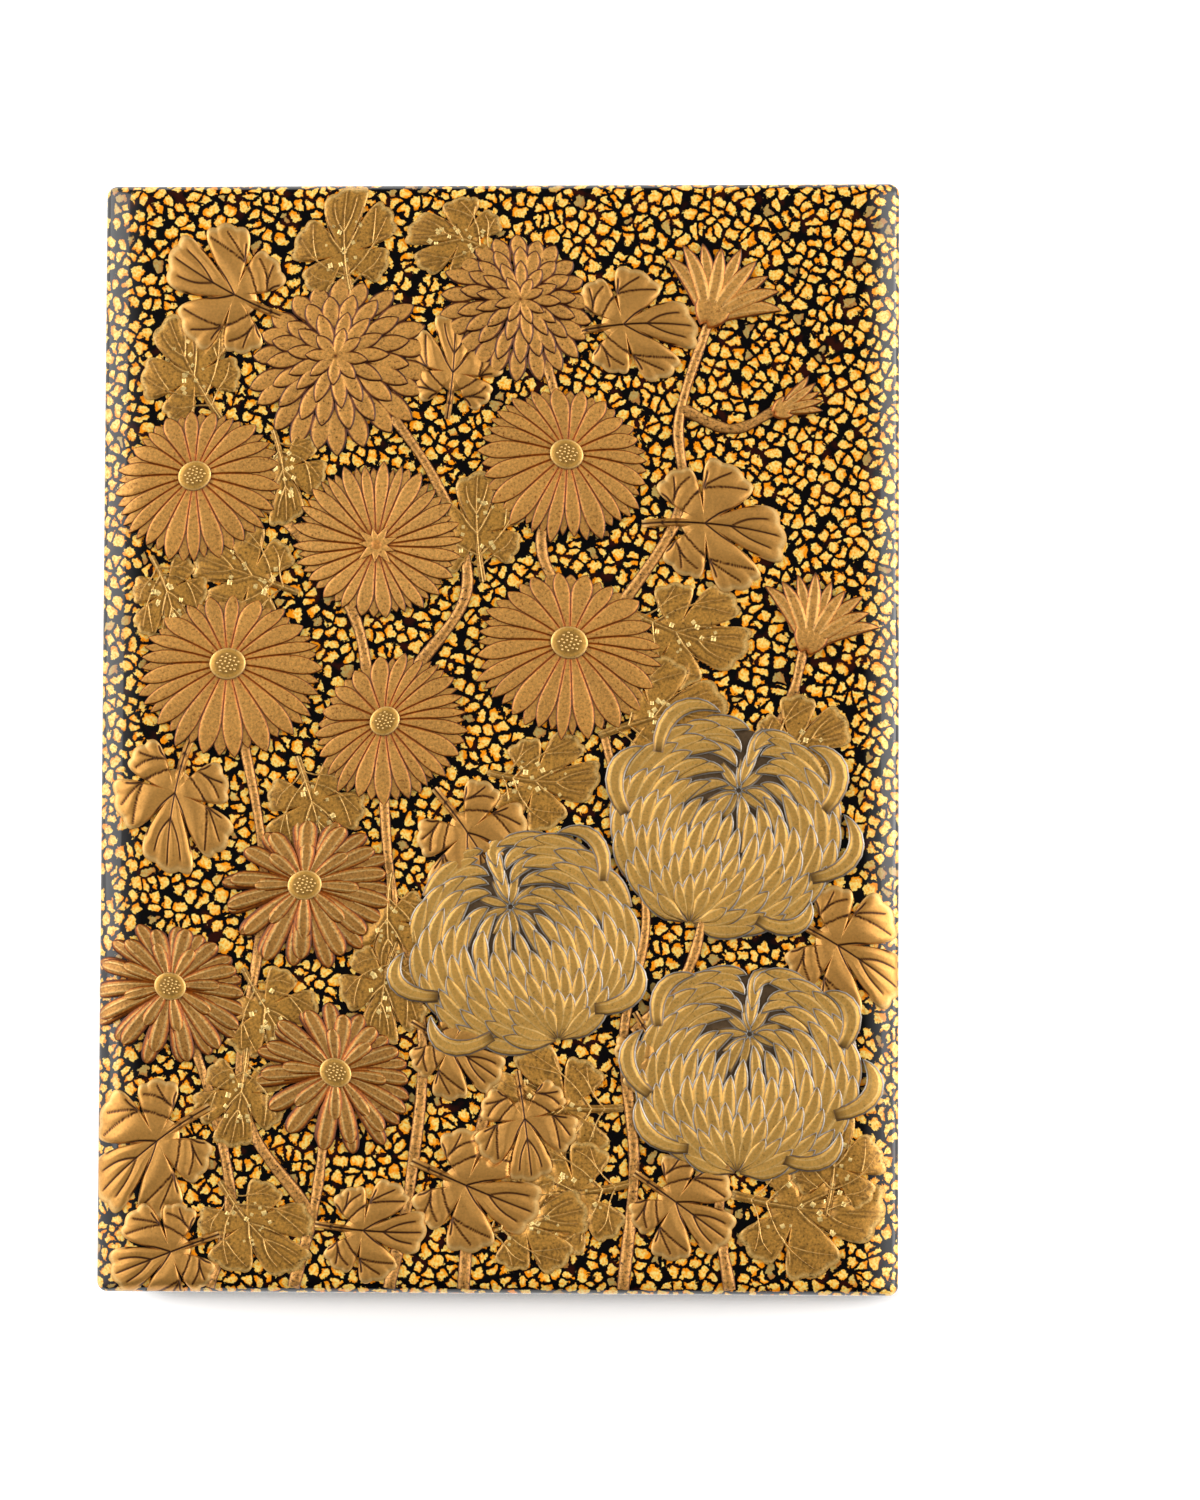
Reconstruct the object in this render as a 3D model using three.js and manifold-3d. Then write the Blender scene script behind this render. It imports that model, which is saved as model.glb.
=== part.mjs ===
// A lacquered incense box: a lower box with an inner lip, a tray that hangs on the lip, and a flush
// lid whose top carries raised chrysanthemum sprays. Every board of the wooden core is a solid of
// its own. Millimetres, +Z up, origin at the middle of the underside.

import * as THREE from "three";
import { mergeVertices } from "three/addons/utils/BufferGeometryUtils.js";
import Module from "manifold-3d";

const wasm = await Module();
wasm.setup();

// Outline of the box in plan
const boxWidth = 75.5;
const boxLength = 105;
const cornerRadius = 1.0;
const arcSteps = 3;

// Lower box
const basePanelThickness = 2.6;
const baseWallHeight = 16.3;
const baseWallThickness = 2.2;
const footRound = 1.0;

// Corner joint: the long wall's tongue covers the end of the short wall, and is this much thicker
// than the rounding of the box's corner
const tongueMargin = 0.2;

// Metal rims at the two mouths, and the open seam between them
const rimThickness = 0.5;
const lidSeam = 0.2;

// Inner lip, standing inside the lower box and rising into the lid
const lipThickness = 1.4;
const lipRise = 3.8;
const lipClearance = 0.2;

// Tray
const trayWallThickness = 1.3;
const trayWallHeight = 8.9;
const trayFloorThickness = 1.2;
const trayClearance = 0.25;
const traySeatGap = 0.1;
const flangeThickness = 1.1;
const flangeClearance = 0.35;

// Lid
const lidWallHeight = 10.7;
const lidPanelThickness = 3.2;
const longEdgeRoll = 3.0;
const shortEdgeRoll = 1.4;
const edgeDrop = 1.6;
const rollSteps = 5;
const cornerTightening = 0.6;

// Raised ornament on the lid's flat field. The proportion is the drawing's width over its length
const drawingProportion = 0.72;
const petalEdgeHeight = 0.12;
const petalValleyDrop = 0.14;
const leafEdgeHeight = 0.16;
const leafCrestHeight = 0.42;
const moundPeakAlong = 0.5;
const stemWidth = 1.2;
const stemHeight = 0.34;
const stemCrestShare = 0.56;
const stemStepsPerPoint = 2;
const buttonRadius = 1.35;
const buttonHeight = 0.78;
const buttonCrown = 0.15;
const buttonSides = 10;
const fieldMargin = 0.1;
const fieldSlabHeight = 8;

// Plan half sizes, from the outside inwards
const outerX = boxWidth / 2;
const outerY = boxLength / 2;
const lipOuterX = outerX - baseWallThickness;
const lipOuterY = outerY - baseWallThickness;
const lidInnerX = lipOuterX + lipClearance;
const lidInnerY = lipOuterY + lipClearance;
const lipInnerX = lipOuterX - lipThickness;
const lipInnerY = lipOuterY - lipThickness;
const flangeOuterX = lidInnerX - flangeClearance;
const flangeOuterY = lidInnerY - flangeClearance;
const trayOuterX = lipInnerX - trayClearance;
const trayOuterY = lipInnerY - trayClearance;
const trayInnerX = trayOuterX - trayWallThickness;
const trayInnerY = trayOuterY - trayWallThickness;

// Heights, from the underside up
const baseRimBottom = basePanelThickness + baseWallHeight;
const baseRimTop = baseRimBottom + rimThickness;
const lidRimBottom = baseRimTop + lidSeam;
const lidWallBottom = lidRimBottom + rimThickness;
const lidPanelBottom = lidWallBottom + lidWallHeight;
const lidTop = lidPanelBottom + lidPanelThickness;
const tongueInnerX = outerX - cornerRadius - tongueMargin;
const lipTop = baseRimTop + lipRise;
const flangeBottom = lipTop + traySeatGap;
const flangeTop = flangeBottom + flangeThickness;
const trayFloorTop = flangeBottom - trayWallHeight;
const trayFloorBottom = trayFloorTop - trayFloorThickness;

const flakeLacquer = new THREE.MeshStandardMaterial({ color: 0xa07a34, roughness: 0.22, metalness: 0.55 });
const ornamentGold = new THREE.MeshStandardMaterial({ color: 0xb98a45, roughness: 0.42, metalness: 0.85 });
const sprinkledLacquer = new THREE.MeshStandardMaterial({ color: 0x8a5a1e, roughness: 0.25, metalness: 0.35 });
const silver = new THREE.MeshStandardMaterial({ color: 0xb9b4aa, roughness: 0.35, metalness: 1.0 });

const box = new THREE.Group();
const lowerBox = new THREE.Group();
const tray = new THREE.Group();
const lid = new THREE.Group();
box.add(lowerBox, tray, lid);

function addMesh(group, name, geometry, material) {
  const mesh = new THREE.Mesh(geometry, material);
  mesh.name = name;
  group.add(mesh);
  return mesh;
}

// A straight board between two opposite corners.
function addBoard(group, name, low, high, material) {
  const size = high.map((value, axis) => value - low[axis]);
  const mesh = addMesh(group, name, new THREE.BoxGeometry(...size), material);
  mesh.position.set(...low.map((value, axis) => value + size[axis] / 2));
}

// Points of a rounded rectangle about the origin, counter-clockwise.
function roundedRectangle(halfX, halfY, radius) {
  const points = [];
  const centres = [[1, 1], [-1, 1], [-1, -1], [1, -1]];
  centres.forEach(([signX, signY], quarter) => {
    for (let step = 0; step <= arcSteps; step += 1) {
      const angle = ((quarter + step / arcSteps) * Math.PI) / 2;
      points.push([
        signX * (halfX - radius) + radius * Math.cos(angle),
        signY * (halfY - radius) + radius * Math.sin(angle),
      ]);
    }
  });
  return points;
}

// A closed body through a stack of rings, lowest first, each { points, z } with as many points.
function stackedRings(rings) {
  const count = rings[0].points.length;
  const positions = rings.flatMap(({ points, z }) => points.flatMap(([x, y]) => [x, y, z]));
  const triangles = [];
  for (let level = 0; level + 1 < rings.length; level += 1) {
    for (let i = 0; i < count; i += 1) {
      const a = level * count + i;
      const b = level * count + ((i + 1) % count);
      triangles.push(a, b, b + count, a, b + count, a + count);
    }
  }
  const bottom = positions.length / 3;
  const topRing = (rings.length - 1) * count;
  positions.push(0, 0, rings[0].z, 0, 0, rings[rings.length - 1].z);
  for (let i = 0; i < count; i += 1) {
    const next = (i + 1) % count;
    triangles.push(bottom, next, i, bottom + 1, topRing + i, topRing + next);
  }
  return indexedGeometry(positions, triangles);
}

function indexedGeometry(positions, triangles) {
  const geometry = new THREE.BufferGeometry();
  geometry.setAttribute("position", new THREE.Float32BufferAttribute(positions, 3));
  geometry.setIndex(triangles);
  geometry.computeVertexNormals();
  return geometry;
}

// A quarter ellipse from a flat face (share 0) round to a vertical side (share 1).
function rolledRing(share, rollX, rollY) {
  const angle = (share * Math.PI) / 2;
  const inset = 1 - Math.sin(angle);
  const radius = cornerRadius * (1 - cornerTightening * inset);
  return {
    points: roundedRectangle(outerX - rollX * inset, outerY - rollY * inset, radius),
    drop: 1 - Math.cos(angle),
  };
}

function basePanel() {
  const rings = [];
  for (let step = 0; step <= rollSteps; step += 1) {
    const { points, drop } = rolledRing(step / rollSteps, footRound, footRound);
    rings.push({ points, z: footRound * drop });
  }
  rings.push({ points: roundedRectangle(outerX, outerY, cornerRadius), z: basePanelThickness });
  return stackedRings(rings);
}

function lidPanel() {
  const rings = [{ points: roundedRectangle(outerX, outerY, cornerRadius), z: lidPanelBottom }];
  for (let step = rollSteps; step >= 0; step -= 1) {
    const { points, drop } = rolledRing(step / rollSteps, longEdgeRoll, shortEdgeRoll);
    rings.push({ points, z: lidTop - edgeDrop * drop });
  }
  return stackedRings(rings);
}

// A wall along Y on the +X side: its two ends carry a rounded outer corner and, inside, a rabbet
// that takes the end of the short wall.
function longWall(thickness, height) {
  const shape = new THREE.Shape();
  const inner = outerX - thickness;
  const shoulder = outerY - thickness;
  shape.moveTo(inner, -shoulder);
  shape.lineTo(tongueInnerX, -shoulder);
  shape.lineTo(tongueInnerX, -outerY);
  shape.lineTo(outerX - cornerRadius, -outerY);
  shape.absarc(outerX - cornerRadius, -outerY + cornerRadius, cornerRadius, -Math.PI / 2, 0);
  shape.lineTo(outerX, outerY - cornerRadius);
  shape.absarc(outerX - cornerRadius, outerY - cornerRadius, cornerRadius, 0, Math.PI / 2);
  shape.lineTo(tongueInnerX, outerY);
  shape.lineTo(tongueInnerX, shoulder);
  shape.lineTo(inner, shoulder);
  shape.closePath();
  return new THREE.ExtrudeGeometry(shape, { depth: height, bevelEnabled: false, curveSegments: arcSteps });
}

// Four walls jointed at the corners: long walls at the sides, short walls let into their rabbets.
function addWalls(group, part, thickness, bottom, height) {
  const right = addMesh(group, `${part}_wall_right`, longWall(thickness, height), flakeLacquer);
  right.position.z = bottom;
  const left = addMesh(group, `${part}_wall_left`, longWall(thickness, height), flakeLacquer);
  left.position.z = bottom;
  left.rotation.z = Math.PI;
  const top = bottom + height;
  const inner = outerY - thickness;
  const reach = tongueInnerX;
  addBoard(group, `${part}_wall_front`, [-reach, -outerY, bottom], [reach, -inner, top], flakeLacquer);
  addBoard(group, `${part}_wall_back`, [-reach, inner, bottom], [reach, outerY, top], flakeLacquer);
}

// A thin metal ring that caps the mouth, from the outer face in to the given half sizes.
function addRim(group, name, innerX, innerY, bottom) {
  const toPoints = (pairs) => pairs.map(([x, y]) => new THREE.Vector2(x, y));
  const shape = new THREE.Shape(toPoints(roundedRectangle(outerX, outerY, cornerRadius)));
  const mouth = [[-innerX, -innerY], [-innerX, innerY], [innerX, innerY], [innerX, -innerY]];
  shape.holes.push(new THREE.Path(toPoints(mouth)));
  const ring = new THREE.ExtrudeGeometry(shape, { depth: rimThickness, bevelEnabled: false });
  addMesh(group, name, ring, silver).position.z = bottom;
}

// Four strips round a rectangle, butted at the corners: the long pair runs the full length.
function addStrips(group, part, outer, inner, bottom, top) {
  const sides = [
    ["left", [-outer[0], -outer[1]], [-inner[0], outer[1]]],
    ["right", [inner[0], -outer[1]], [outer[0], outer[1]]],
    ["front", [-inner[0], -outer[1]], [inner[0], -inner[1]]],
    ["back", [-inner[0], inner[1]], [inner[0], outer[1]]],
  ];
  for (const [side, low, high] of sides) {
    addBoard(group, `${part}_${side}`, [...low, bottom], [...high, top], sprinkledLacquer);
  }
}

addMesh(lowerBox, "base_panel", basePanel(), flakeLacquer);
addWalls(lowerBox, "base", baseWallThickness, basePanelThickness, baseWallHeight);
addRim(lowerBox, "base_rim", lipOuterX, lipOuterY, baseRimBottom);
addStrips(lowerBox, "lip", [lipOuterX, lipOuterY], [lipInnerX, lipInnerY], basePanelThickness, lipTop);

const trayOuter = [trayOuterX, trayOuterY];
const trayInner = [trayInnerX, trayInnerY];
const flangeOuter = [flangeOuterX, flangeOuterY];
addBoard(tray, "tray_floor", [-trayOuterX, -trayOuterY, trayFloorBottom], [...trayOuter, trayFloorTop],
  sprinkledLacquer);
addStrips(tray, "tray_wall", trayOuter, trayInner, trayFloorTop, flangeBottom);
addStrips(tray, "tray_flange", flangeOuter, trayInner, flangeBottom, flangeTop);

addRim(lid, "lid_rim", lidInnerX, lidInnerY, lidRimBottom);
addWalls(lid, "lid", outerX - lidInnerX, lidWallBottom, lidWallHeight);
addMesh(lid, "lid_panel", lidPanel(), flakeLacquer);

// Raised ornament: the drawing fills the lid whatever the lid's size. Places are shares of the box's
// half width and half length from the lid's centre. Radii and lengths are shares of the drawing's own
// half width, which follows the side that is stretched most, so that what touches stays touching.
// Angles are degrees, counter-clockwise from +X.

const blooms = [
  { kind: "double", at: [-0.4, 0.67], radius: 0.23, turn: 10 },
  { kind: "double", at: [0.04, 0.77], radius: 0.19, turn: 40 },
  { kind: "daisy", at: [-0.75, 0.45], radius: 0.21, turn: 5 },
  { kind: "back", at: [-0.3, 0.35], radius: 0.21, turn: 20 },
  { kind: "daisy", at: [0.16, 0.49], radius: 0.21, turn: 50 },
  { kind: "daisy", at: [-0.67, 0.1], radius: 0.23, turn: 15 },
  { kind: "daisy", at: [0.17, 0.14], radius: 0.24, turn: 0 },
  { kind: "daisy", at: [-0.27, 0.01], radius: 0.2, turn: 30 },
  { kind: "incurved", at: [0.56, -0.18], radius: 0.28, turn: 0 },
  { kind: "incurved", at: [0.1, -0.37], radius: 0.28, turn: 25 },
  { kind: "incurved", at: [0.62, -0.6], radius: 0.26, turn: 50 },
  { kind: "daisy", at: [-0.48, -0.28], radius: 0.21, turn: 0 },
  { kind: "daisy", at: [-0.81, -0.47], radius: 0.2, turn: 12 },
  { kind: "daisy", at: [-0.41, -0.62], radius: 0.2, turn: 40 },
];

const leaves = [
  { base: [-0.53, 0.75], length: 0.3, towards: 160 },
  { base: [-0.37, 0.78], length: 0.26, towards: 105 },
  { base: [0, 0.87], length: 0.21, towards: 150 },
  { base: [0.17, 0.72], length: 0.28, towards: 15 },
  { base: [-0.7, 0.57], length: 0.26, towards: 125 },
  { base: [-0.13, 0.57], length: 0.24, towards: 80 },
  { base: [0.36, 0.38], length: 0.32, towards: 5 },
  { base: [0.32, 0.23], length: 0.28, towards: -30 },
  { base: [-0.5, 0.26], length: 0.25, towards: 160 },
  { base: [-0.04, 0.28], length: 0.25, towards: 100 },
  { base: [-0.77, 0], length: 0.3, towards: -110 },
  { base: [-0.5, -0.04], length: 0.25, towards: -70 },
  { base: [-0.16, -0.1], length: 0.28, towards: -50 },
  { base: [0.25, 0], length: 0.29, towards: 20 },
  { base: [-0.26, -0.25], length: 0.24, towards: -100 },
  { base: [0.72, -0.32], length: 0.3, towards: -25 },
  { base: [0.34, -0.5], length: 0.24, towards: -60 },
  { base: [0.32, -0.67], length: 0.29, towards: -175 },
  { base: [-0.21, -0.51], length: 0.24, towards: -30 },
  { base: [-0.72, -0.67], length: 0.32, towards: -150 },
  { base: [-0.64, -0.42], length: 0.24, towards: -60 },
  { base: [-0.21, -0.76], length: 0.3, towards: -25 },
  { base: [0.34, -0.8], length: 0.29, towards: -165 },
  { base: [0.34, -0.78], length: 0.26, towards: -35 },
  { base: [0.58, -0.82], length: 0.34, towards: -15 },
  { base: [-0.69, -0.8], length: 0.26, towards: -60 },
  { base: [-0.45, -0.88], length: 0.25, towards: -10 },
  { base: [-0.05, -0.9], length: 0.26, towards: 15 },
  { base: [-0.69, -0.9], length: 0.26, towards: -160 },
  { base: [0.64, -0.06], length: 0.24, towards: 25 },
];

const buds = [
  { base: [0.51, 0.72], length: 0.21, towards: 65, petals: 5, spread: 62 },
  { base: [0.68, 0.57], length: 0.13, towards: 25, petals: 3, spread: 40 },
  { base: [0.76, 0.14], length: 0.2, towards: 70, petals: 5, spread: 62 },
];

const stems = [
  [[-0.72, -1], [-0.66, -0.84], [-0.72, -0.65], [-0.8, -0.5]],
  [[-0.5, -1], [-0.45, -0.84], [-0.42, -0.68]],
  [[-0.26, -1], [-0.21, -0.8], [-0.19, -0.53], [-0.26, -0.27], [-0.29, -0.04]],
  [[-0.46, -0.86], [-0.64, -0.65], [-0.58, -0.27], [-0.66, 0.08]],
  [[-0.08, -1], [-0.05, -0.76], [0.03, -0.53]],
  [[0.32, -1], [0.34, -0.76], [0.32, -0.53], [0.37, -0.3], [0.26, 0]],
  [[0.58, -1], [0.56, -0.84], [0.61, -0.69]],
  [[-0.32, 0.08], [-0.37, 0.23], [-0.53, 0.38], [-0.72, 0.46]],
  [[-0.21, 0.11], [-0.08, 0.27], [-0.16, 0.46], [-0.34, 0.65]],
  [[0.19, 0.23], [0.11, 0.34], [0.16, 0.53], [0.08, 0.76]],
  [[0.26, 0.19], [0.45, 0.4], [0.45, 0.57], [0.53, 0.76]],
  [[0.45, 0.59], [0.58, 0.55], [0.7, 0.59]],
  [[0.34, -0.53], [0.48, -0.42], [0.53, -0.27]],
  [[0.58, -0.08], [0.72, 0.04], [0.77, 0.17]],
];

// Each kind of bloom is built from tiers of petals, the widest first. Reach is a share of the
// bloom's radius, and crest is the height of the petals' ridges where they leave the crown.
const crownReach = 0.55;
const valleyReach = 0.84;
const edgeShare = 0.35;
const bloomTiers = {
  daisy: [{ petals: 16, reach: 1, crest: 0.5 }],
  back: [{ petals: 18, reach: 1, crest: 0.46 }],
  double: [
    { petals: 13, reach: 1, crest: 0.46 },
    { petals: 10, reach: 0.68, crest: 0.66 },
    { petals: 6, reach: 0.38, crest: 0.84 },
  ],
  incurved: [
    { petals: 13, reach: 1, crest: 0.56 },
    { petals: 10, reach: 0.76, crest: 0.86 },
    { petals: 7, reach: 0.5, crest: 1.08 },
  ],
};

const drawingHalfWidth = Math.max(outerX, outerY * drawingProportion);

function place([shareX, shareY]) {
  return [shareX * outerX, shareY * outerY];
}

// A low mound over a ring of spokes: a centre point, rings of { reach, height } given by functions
// of the spoke's number, an upright edge and a flat underside.
function spokeMound([x, y], turn, spokes, centreHeight, rings) {
  const positions = [];
  const triangles = [];
  rings.concat({ reach: rings[rings.length - 1].reach, height: () => 0 }).forEach(({ reach, height }) => {
    for (let spoke = 0; spoke < spokes; spoke += 1) {
      const angle = THREE.MathUtils.degToRad(turn) + (spoke * 2 * Math.PI) / spokes;
      positions.push(x + reach(spoke) * Math.cos(angle), y + reach(spoke) * Math.sin(angle), height(spoke));
    }
  });
  const crown = positions.length / 3;
  const lastRing = rings.length * spokes;
  positions.push(x, y, centreHeight, x, y, 0);
  for (let spoke = 0; spoke < spokes; spoke += 1) {
    const next = (spoke + 1) % spokes;
    triangles.push(crown, spoke, next, crown + 1, lastRing + next, lastRing + spoke);
    for (let ring = 0; ring < rings.length; ring += 1) {
      const a = ring * spokes + spoke;
      const b = ring * spokes + next;
      triangles.push(a, a + spokes, b + spokes, a, b + spokes, b);
    }
  }
  return solidOf(indexedGeometry(positions, triangles));
}

// One tier of petals: spokes alternate between a petal's ridge, which reaches furthest, and the
// valley beside it.
function petalTier({ at, radius, turn }, { petals, reach, crest }, tierTurn) {
  const isRidge = (spoke) => spoke % 2 === 1;
  const tip = radius * reach * drawingHalfWidth;
  const crown = {
    reach: () => tip * crownReach,
    height: (spoke) => (isRidge(spoke) ? crest : crest - petalValleyDrop),
  };
  const edge = {
    reach: (spoke) => (isRidge(spoke) ? tip : tip * valleyReach),
    height: (spoke) => (isRidge(spoke) ? petalEdgeHeight + crest * edgeShare : crest * edgeShare),
  };
  return spokeMound(place(at), turn + tierTurn, petals * 2, crest, [crown, edge]);
}

function bloomSolid(bloom) {
  const tiers = bloomTiers[bloom.kind];
  const solids = tiers.map((tier, index) => petalTier(bloom, tier, (index * 180) / tier.petals));
  if (bloom.kind === "daisy") {
    const rim = [{ reach: () => buttonRadius, height: () => buttonHeight - buttonCrown }];
    solids.push(spokeMound(place(bloom.at), 0, buttonSides, buttonHeight, rim));
  }
  return solids.reduce((joined, solid) => joined.add(solid));
}

// Lobes of a leaf of unit length: distance along the midrib, and half width there.
const leafLobes = [[0.1, 0.16], [0.24, 0.36], [0.38, 0.18], [0.56, 0.42], [0.7, 0.2], [0.84, 0.22]];

function leafSolid({ base, length, towards }) {
  const nearSide = leafLobes.map(([along, across]) => [along, -across]);
  const farSide = [...leafLobes].reverse();
  const outline = [[0, 0], ...nearSide, [1, 0], ...farSide];
  return moundOverOutline(base, length, towards, outline, leafEdgeHeight, leafCrestHeight);
}

// Half-open bud: a fan of petals that spreads from its stalk.
function budSolid({ base, length, towards, petals, spread }) {
  const outline = [[0, 0]];
  const lastStep = 2 * (petals - 1);
  for (let step = 0; step <= lastStep; step += 1) {
    const angle = THREE.MathUtils.degToRad(spread * (step / lastStep - 0.5));
    const reach = step % 2 === 0 ? 1 : valleyReach;
    outline.push([reach * Math.cos(angle), reach * Math.sin(angle)]);
  }
  return moundOverOutline(base, length, towards, outline, petalEdgeHeight, leafCrestHeight);
}

// A low mound over a counter-clockwise outline of unit length, raised to a peak halfway along it.
function moundOverOutline(base, length, towards, outline, edgeHeight, crestHeight) {
  const angle = THREE.MathUtils.degToRad(towards);
  const [baseX, baseY] = place(base);
  const scale = length * drawingHalfWidth;
  const put = (along, across, z) => [
    baseX + scale * (along * Math.cos(angle) - across * Math.sin(angle)),
    baseY + scale * (along * Math.sin(angle) + across * Math.cos(angle)),
    z,
  ];
  const positions = outline.flatMap(([along, across]) => put(along, across, edgeHeight));
  positions.push(...outline.flatMap(([along, across]) => put(along, across, 0)));
  positions.push(...put(moundPeakAlong, 0, crestHeight), ...put(moundPeakAlong, 0, 0));
  const count = outline.length;
  const triangles = [];
  for (let i = 0; i < count; i += 1) {
    const next = (i + 1) % count;
    triangles.push(2 * count, i, next, 2 * count + 1, count + next, count + i);
    triangles.push(i, count + i, count + next, i, count + next, next);
  }
  return solidOf(indexedGeometry(positions, triangles));
}

// A stem: a flat-bottomed ridge that follows a smooth curve through its points.
function stemSolid(points) {
  const curve = new THREE.CatmullRomCurve3(points.map((point) => new THREE.Vector3(...place(point), 0)));
  const steps = (points.length - 1) * stemStepsPerPoint;
  const crest = stemCrestShare / 2;
  const section = [[-0.5, 0], [0.5, 0], [crest, stemHeight], [-crest, stemHeight]];
  const positions = [];
  const triangles = [];
  for (let step = 0; step <= steps; step += 1) {
    const centre = curve.getPoint(step / steps);
    const along = curve.getTangent(step / steps);
    for (const [across, z] of section) {
      positions.push(centre.x + along.y * across * stemWidth, centre.y - along.x * across * stemWidth, z);
    }
  }
  const corners = section.length;
  for (let step = 0; step < steps; step += 1) {
    for (let corner = 0; corner < corners; corner += 1) {
      const a = step * corners + corner;
      const b = step * corners + ((corner + 1) % corners);
      triangles.push(a, a + corners, b + corners, a, b + corners, b);
    }
  }
  const last = steps * corners;
  triangles.push(0, 1, 2, 0, 2, 3, last, last + 2, last + 1, last, last + 3, last + 2);
  return solidOf(indexedGeometry(positions, triangles));
}

// The closed geometry as a solid for joining and cutting.
function solidOf(geometry) {
  const bare = geometry.clone();
  bare.deleteAttribute("normal");
  bare.deleteAttribute("uv");
  const merged = mergeVertices(bare);
  const vertProperties = merged.attributes.position.array;
  const triVerts = new Uint32Array(merged.index.array);
  return new wasm.Manifold(new wasm.Mesh({ numProp: 3, vertProperties, triVerts }));
}

function geometryOf(solid) {
  const { vertProperties, triVerts } = solid.getMesh();
  return indexedGeometry(Array.from(vertProperties), Array.from(triVerts));
}

// The flat field of the lid, as a slab that trims whatever would hang over the rolled edges.
function fieldSlab() {
  const halfX = outerX - longEdgeRoll - fieldMargin;
  const halfY = outerY - shortEdgeRoll - fieldMargin;
  return solidOf(new THREE.BoxGeometry(2 * halfX, 2 * halfY, fieldSlabHeight));
}

const foliage = [...stems.map(stemSolid), ...leaves.map(leafSolid), ...buds.map(budSolid)];
const spray = [...foliage, ...blooms.map(bloomSolid)].reduce((joined, solid) => joined.add(solid));
const ornament = spray.intersect(fieldSlab());
addMesh(lid, "raised_ornament", geometryOf(ornament), ornamentGold).position.z = lidTop;

export default box;
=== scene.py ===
"""Looks of a lacquered incense box: lower box, hanging tray, flush lid and the raised gold ornament.

Sizes are in millimetres until a mesh is made. The box lies flat, +Z up, with the top of the lid's
picture towards +Y.
"""

import math

import bpy
import numpy as np
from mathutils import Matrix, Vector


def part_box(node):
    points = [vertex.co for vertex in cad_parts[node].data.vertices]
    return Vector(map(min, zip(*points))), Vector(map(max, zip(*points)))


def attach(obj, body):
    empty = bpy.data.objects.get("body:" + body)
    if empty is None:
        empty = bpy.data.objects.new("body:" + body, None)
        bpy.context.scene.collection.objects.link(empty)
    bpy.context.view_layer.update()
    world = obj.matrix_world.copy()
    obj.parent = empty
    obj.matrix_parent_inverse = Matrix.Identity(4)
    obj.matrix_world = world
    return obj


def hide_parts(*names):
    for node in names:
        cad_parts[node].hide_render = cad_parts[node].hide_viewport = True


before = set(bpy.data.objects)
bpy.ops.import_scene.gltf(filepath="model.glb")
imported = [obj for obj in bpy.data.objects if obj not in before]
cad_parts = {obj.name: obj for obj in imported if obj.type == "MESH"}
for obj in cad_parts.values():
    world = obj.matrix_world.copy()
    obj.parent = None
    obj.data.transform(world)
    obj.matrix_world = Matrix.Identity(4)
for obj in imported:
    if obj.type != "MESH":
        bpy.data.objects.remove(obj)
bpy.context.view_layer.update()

# Lower box
# Light wood boards jointed at the corners, primed, lacquered black and set with gold flakes under
# clear lacquer. The joints don't show, so one skin stands for the bottom board and the four walls.

MM = 0.001


def size_of(node):
    """Half width, half length, lowest and highest height of a CAD node, in millimetres."""
    low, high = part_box(node)
    return high.x / MM, high.y / MM, low.z / MM, high.z / MM


BOX_HALF_X, BOX_HALF_Y, FLOOR_Z, INNER_FLOOR_Z = size_of("base_panel")
BASE_MOUTH_Z = size_of("base_rim")[2]
LIP_HALF_X, LIP_HALF_Y = size_of("lip_right")[0], size_of("lip_back")[1]
CORNER_RADIUS = 1.0
INNER_CORNER_RADIUS = 0.6
FOOT_CORNER_RADIUS = 0.5
FOOT_ROUND = 1.0
FOOT_STEPS = 7
ARC_POINTS = 9
SHARP_TURN = 40
EDGE_DROP = 1.6
ROLL_STRETCH = 0.35
FLAKE_PITCH = 1.24
FLAKE_DRIFT = 0.9
FLAKE_ROWS_TURN = 0.5
FLAKE_GAP = 0.34
FLAKE_LEAST_GAP = 0.19
FLAKE_TEAR = 0.9
FLAKE_REACH = 0.63
FLAKE_OUTLINE = 0.02
POWDER_PITCH = 0.34
POWDER_CLOUD = 9


def rectangle_ring(half_x, half_y, radius, z):
    """Points round a rectangle with rounded corners: each corner is a quarter circle about its own
    centre, starting at the +X side and going counter-clockwise."""
    quarter = np.linspace(0, math.pi / 2, ARC_POINTS)
    angle = (quarter + np.arange(4)[:, None] * math.pi / 2).ravel()
    sign_x = np.repeat([1, -1, -1, 1], ARC_POINTS)
    sign_y = np.repeat([1, 1, -1, -1], ARC_POINTS)
    x = sign_x * (half_x - radius) + radius * np.cos(angle)
    y = sign_y * (half_y - radius) + radius * np.sin(angle)
    return np.stack([x, y, np.full_like(x, z)], 1)


def quarter_round(start, end, steps, first):
    """Rows from start to end along a quarter ellipse. Each row is half width, half length, corner
    radius, height. With first "plan" it leaves start in plan, and with first "height" upright."""
    turn = np.linspace(0, math.pi / 2, steps)[:, None]
    quick, slow = np.sin(turn), 1 - np.cos(turn)
    plan, height = (quick, slow) if first == "plan" else (slow, quick)
    start, end = np.array(start, float), np.array(end, float)
    rows = start + (end - start) * plan
    rows[:, 3:] = start[3] + (end[3] - start[3]) * height
    return rows


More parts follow.
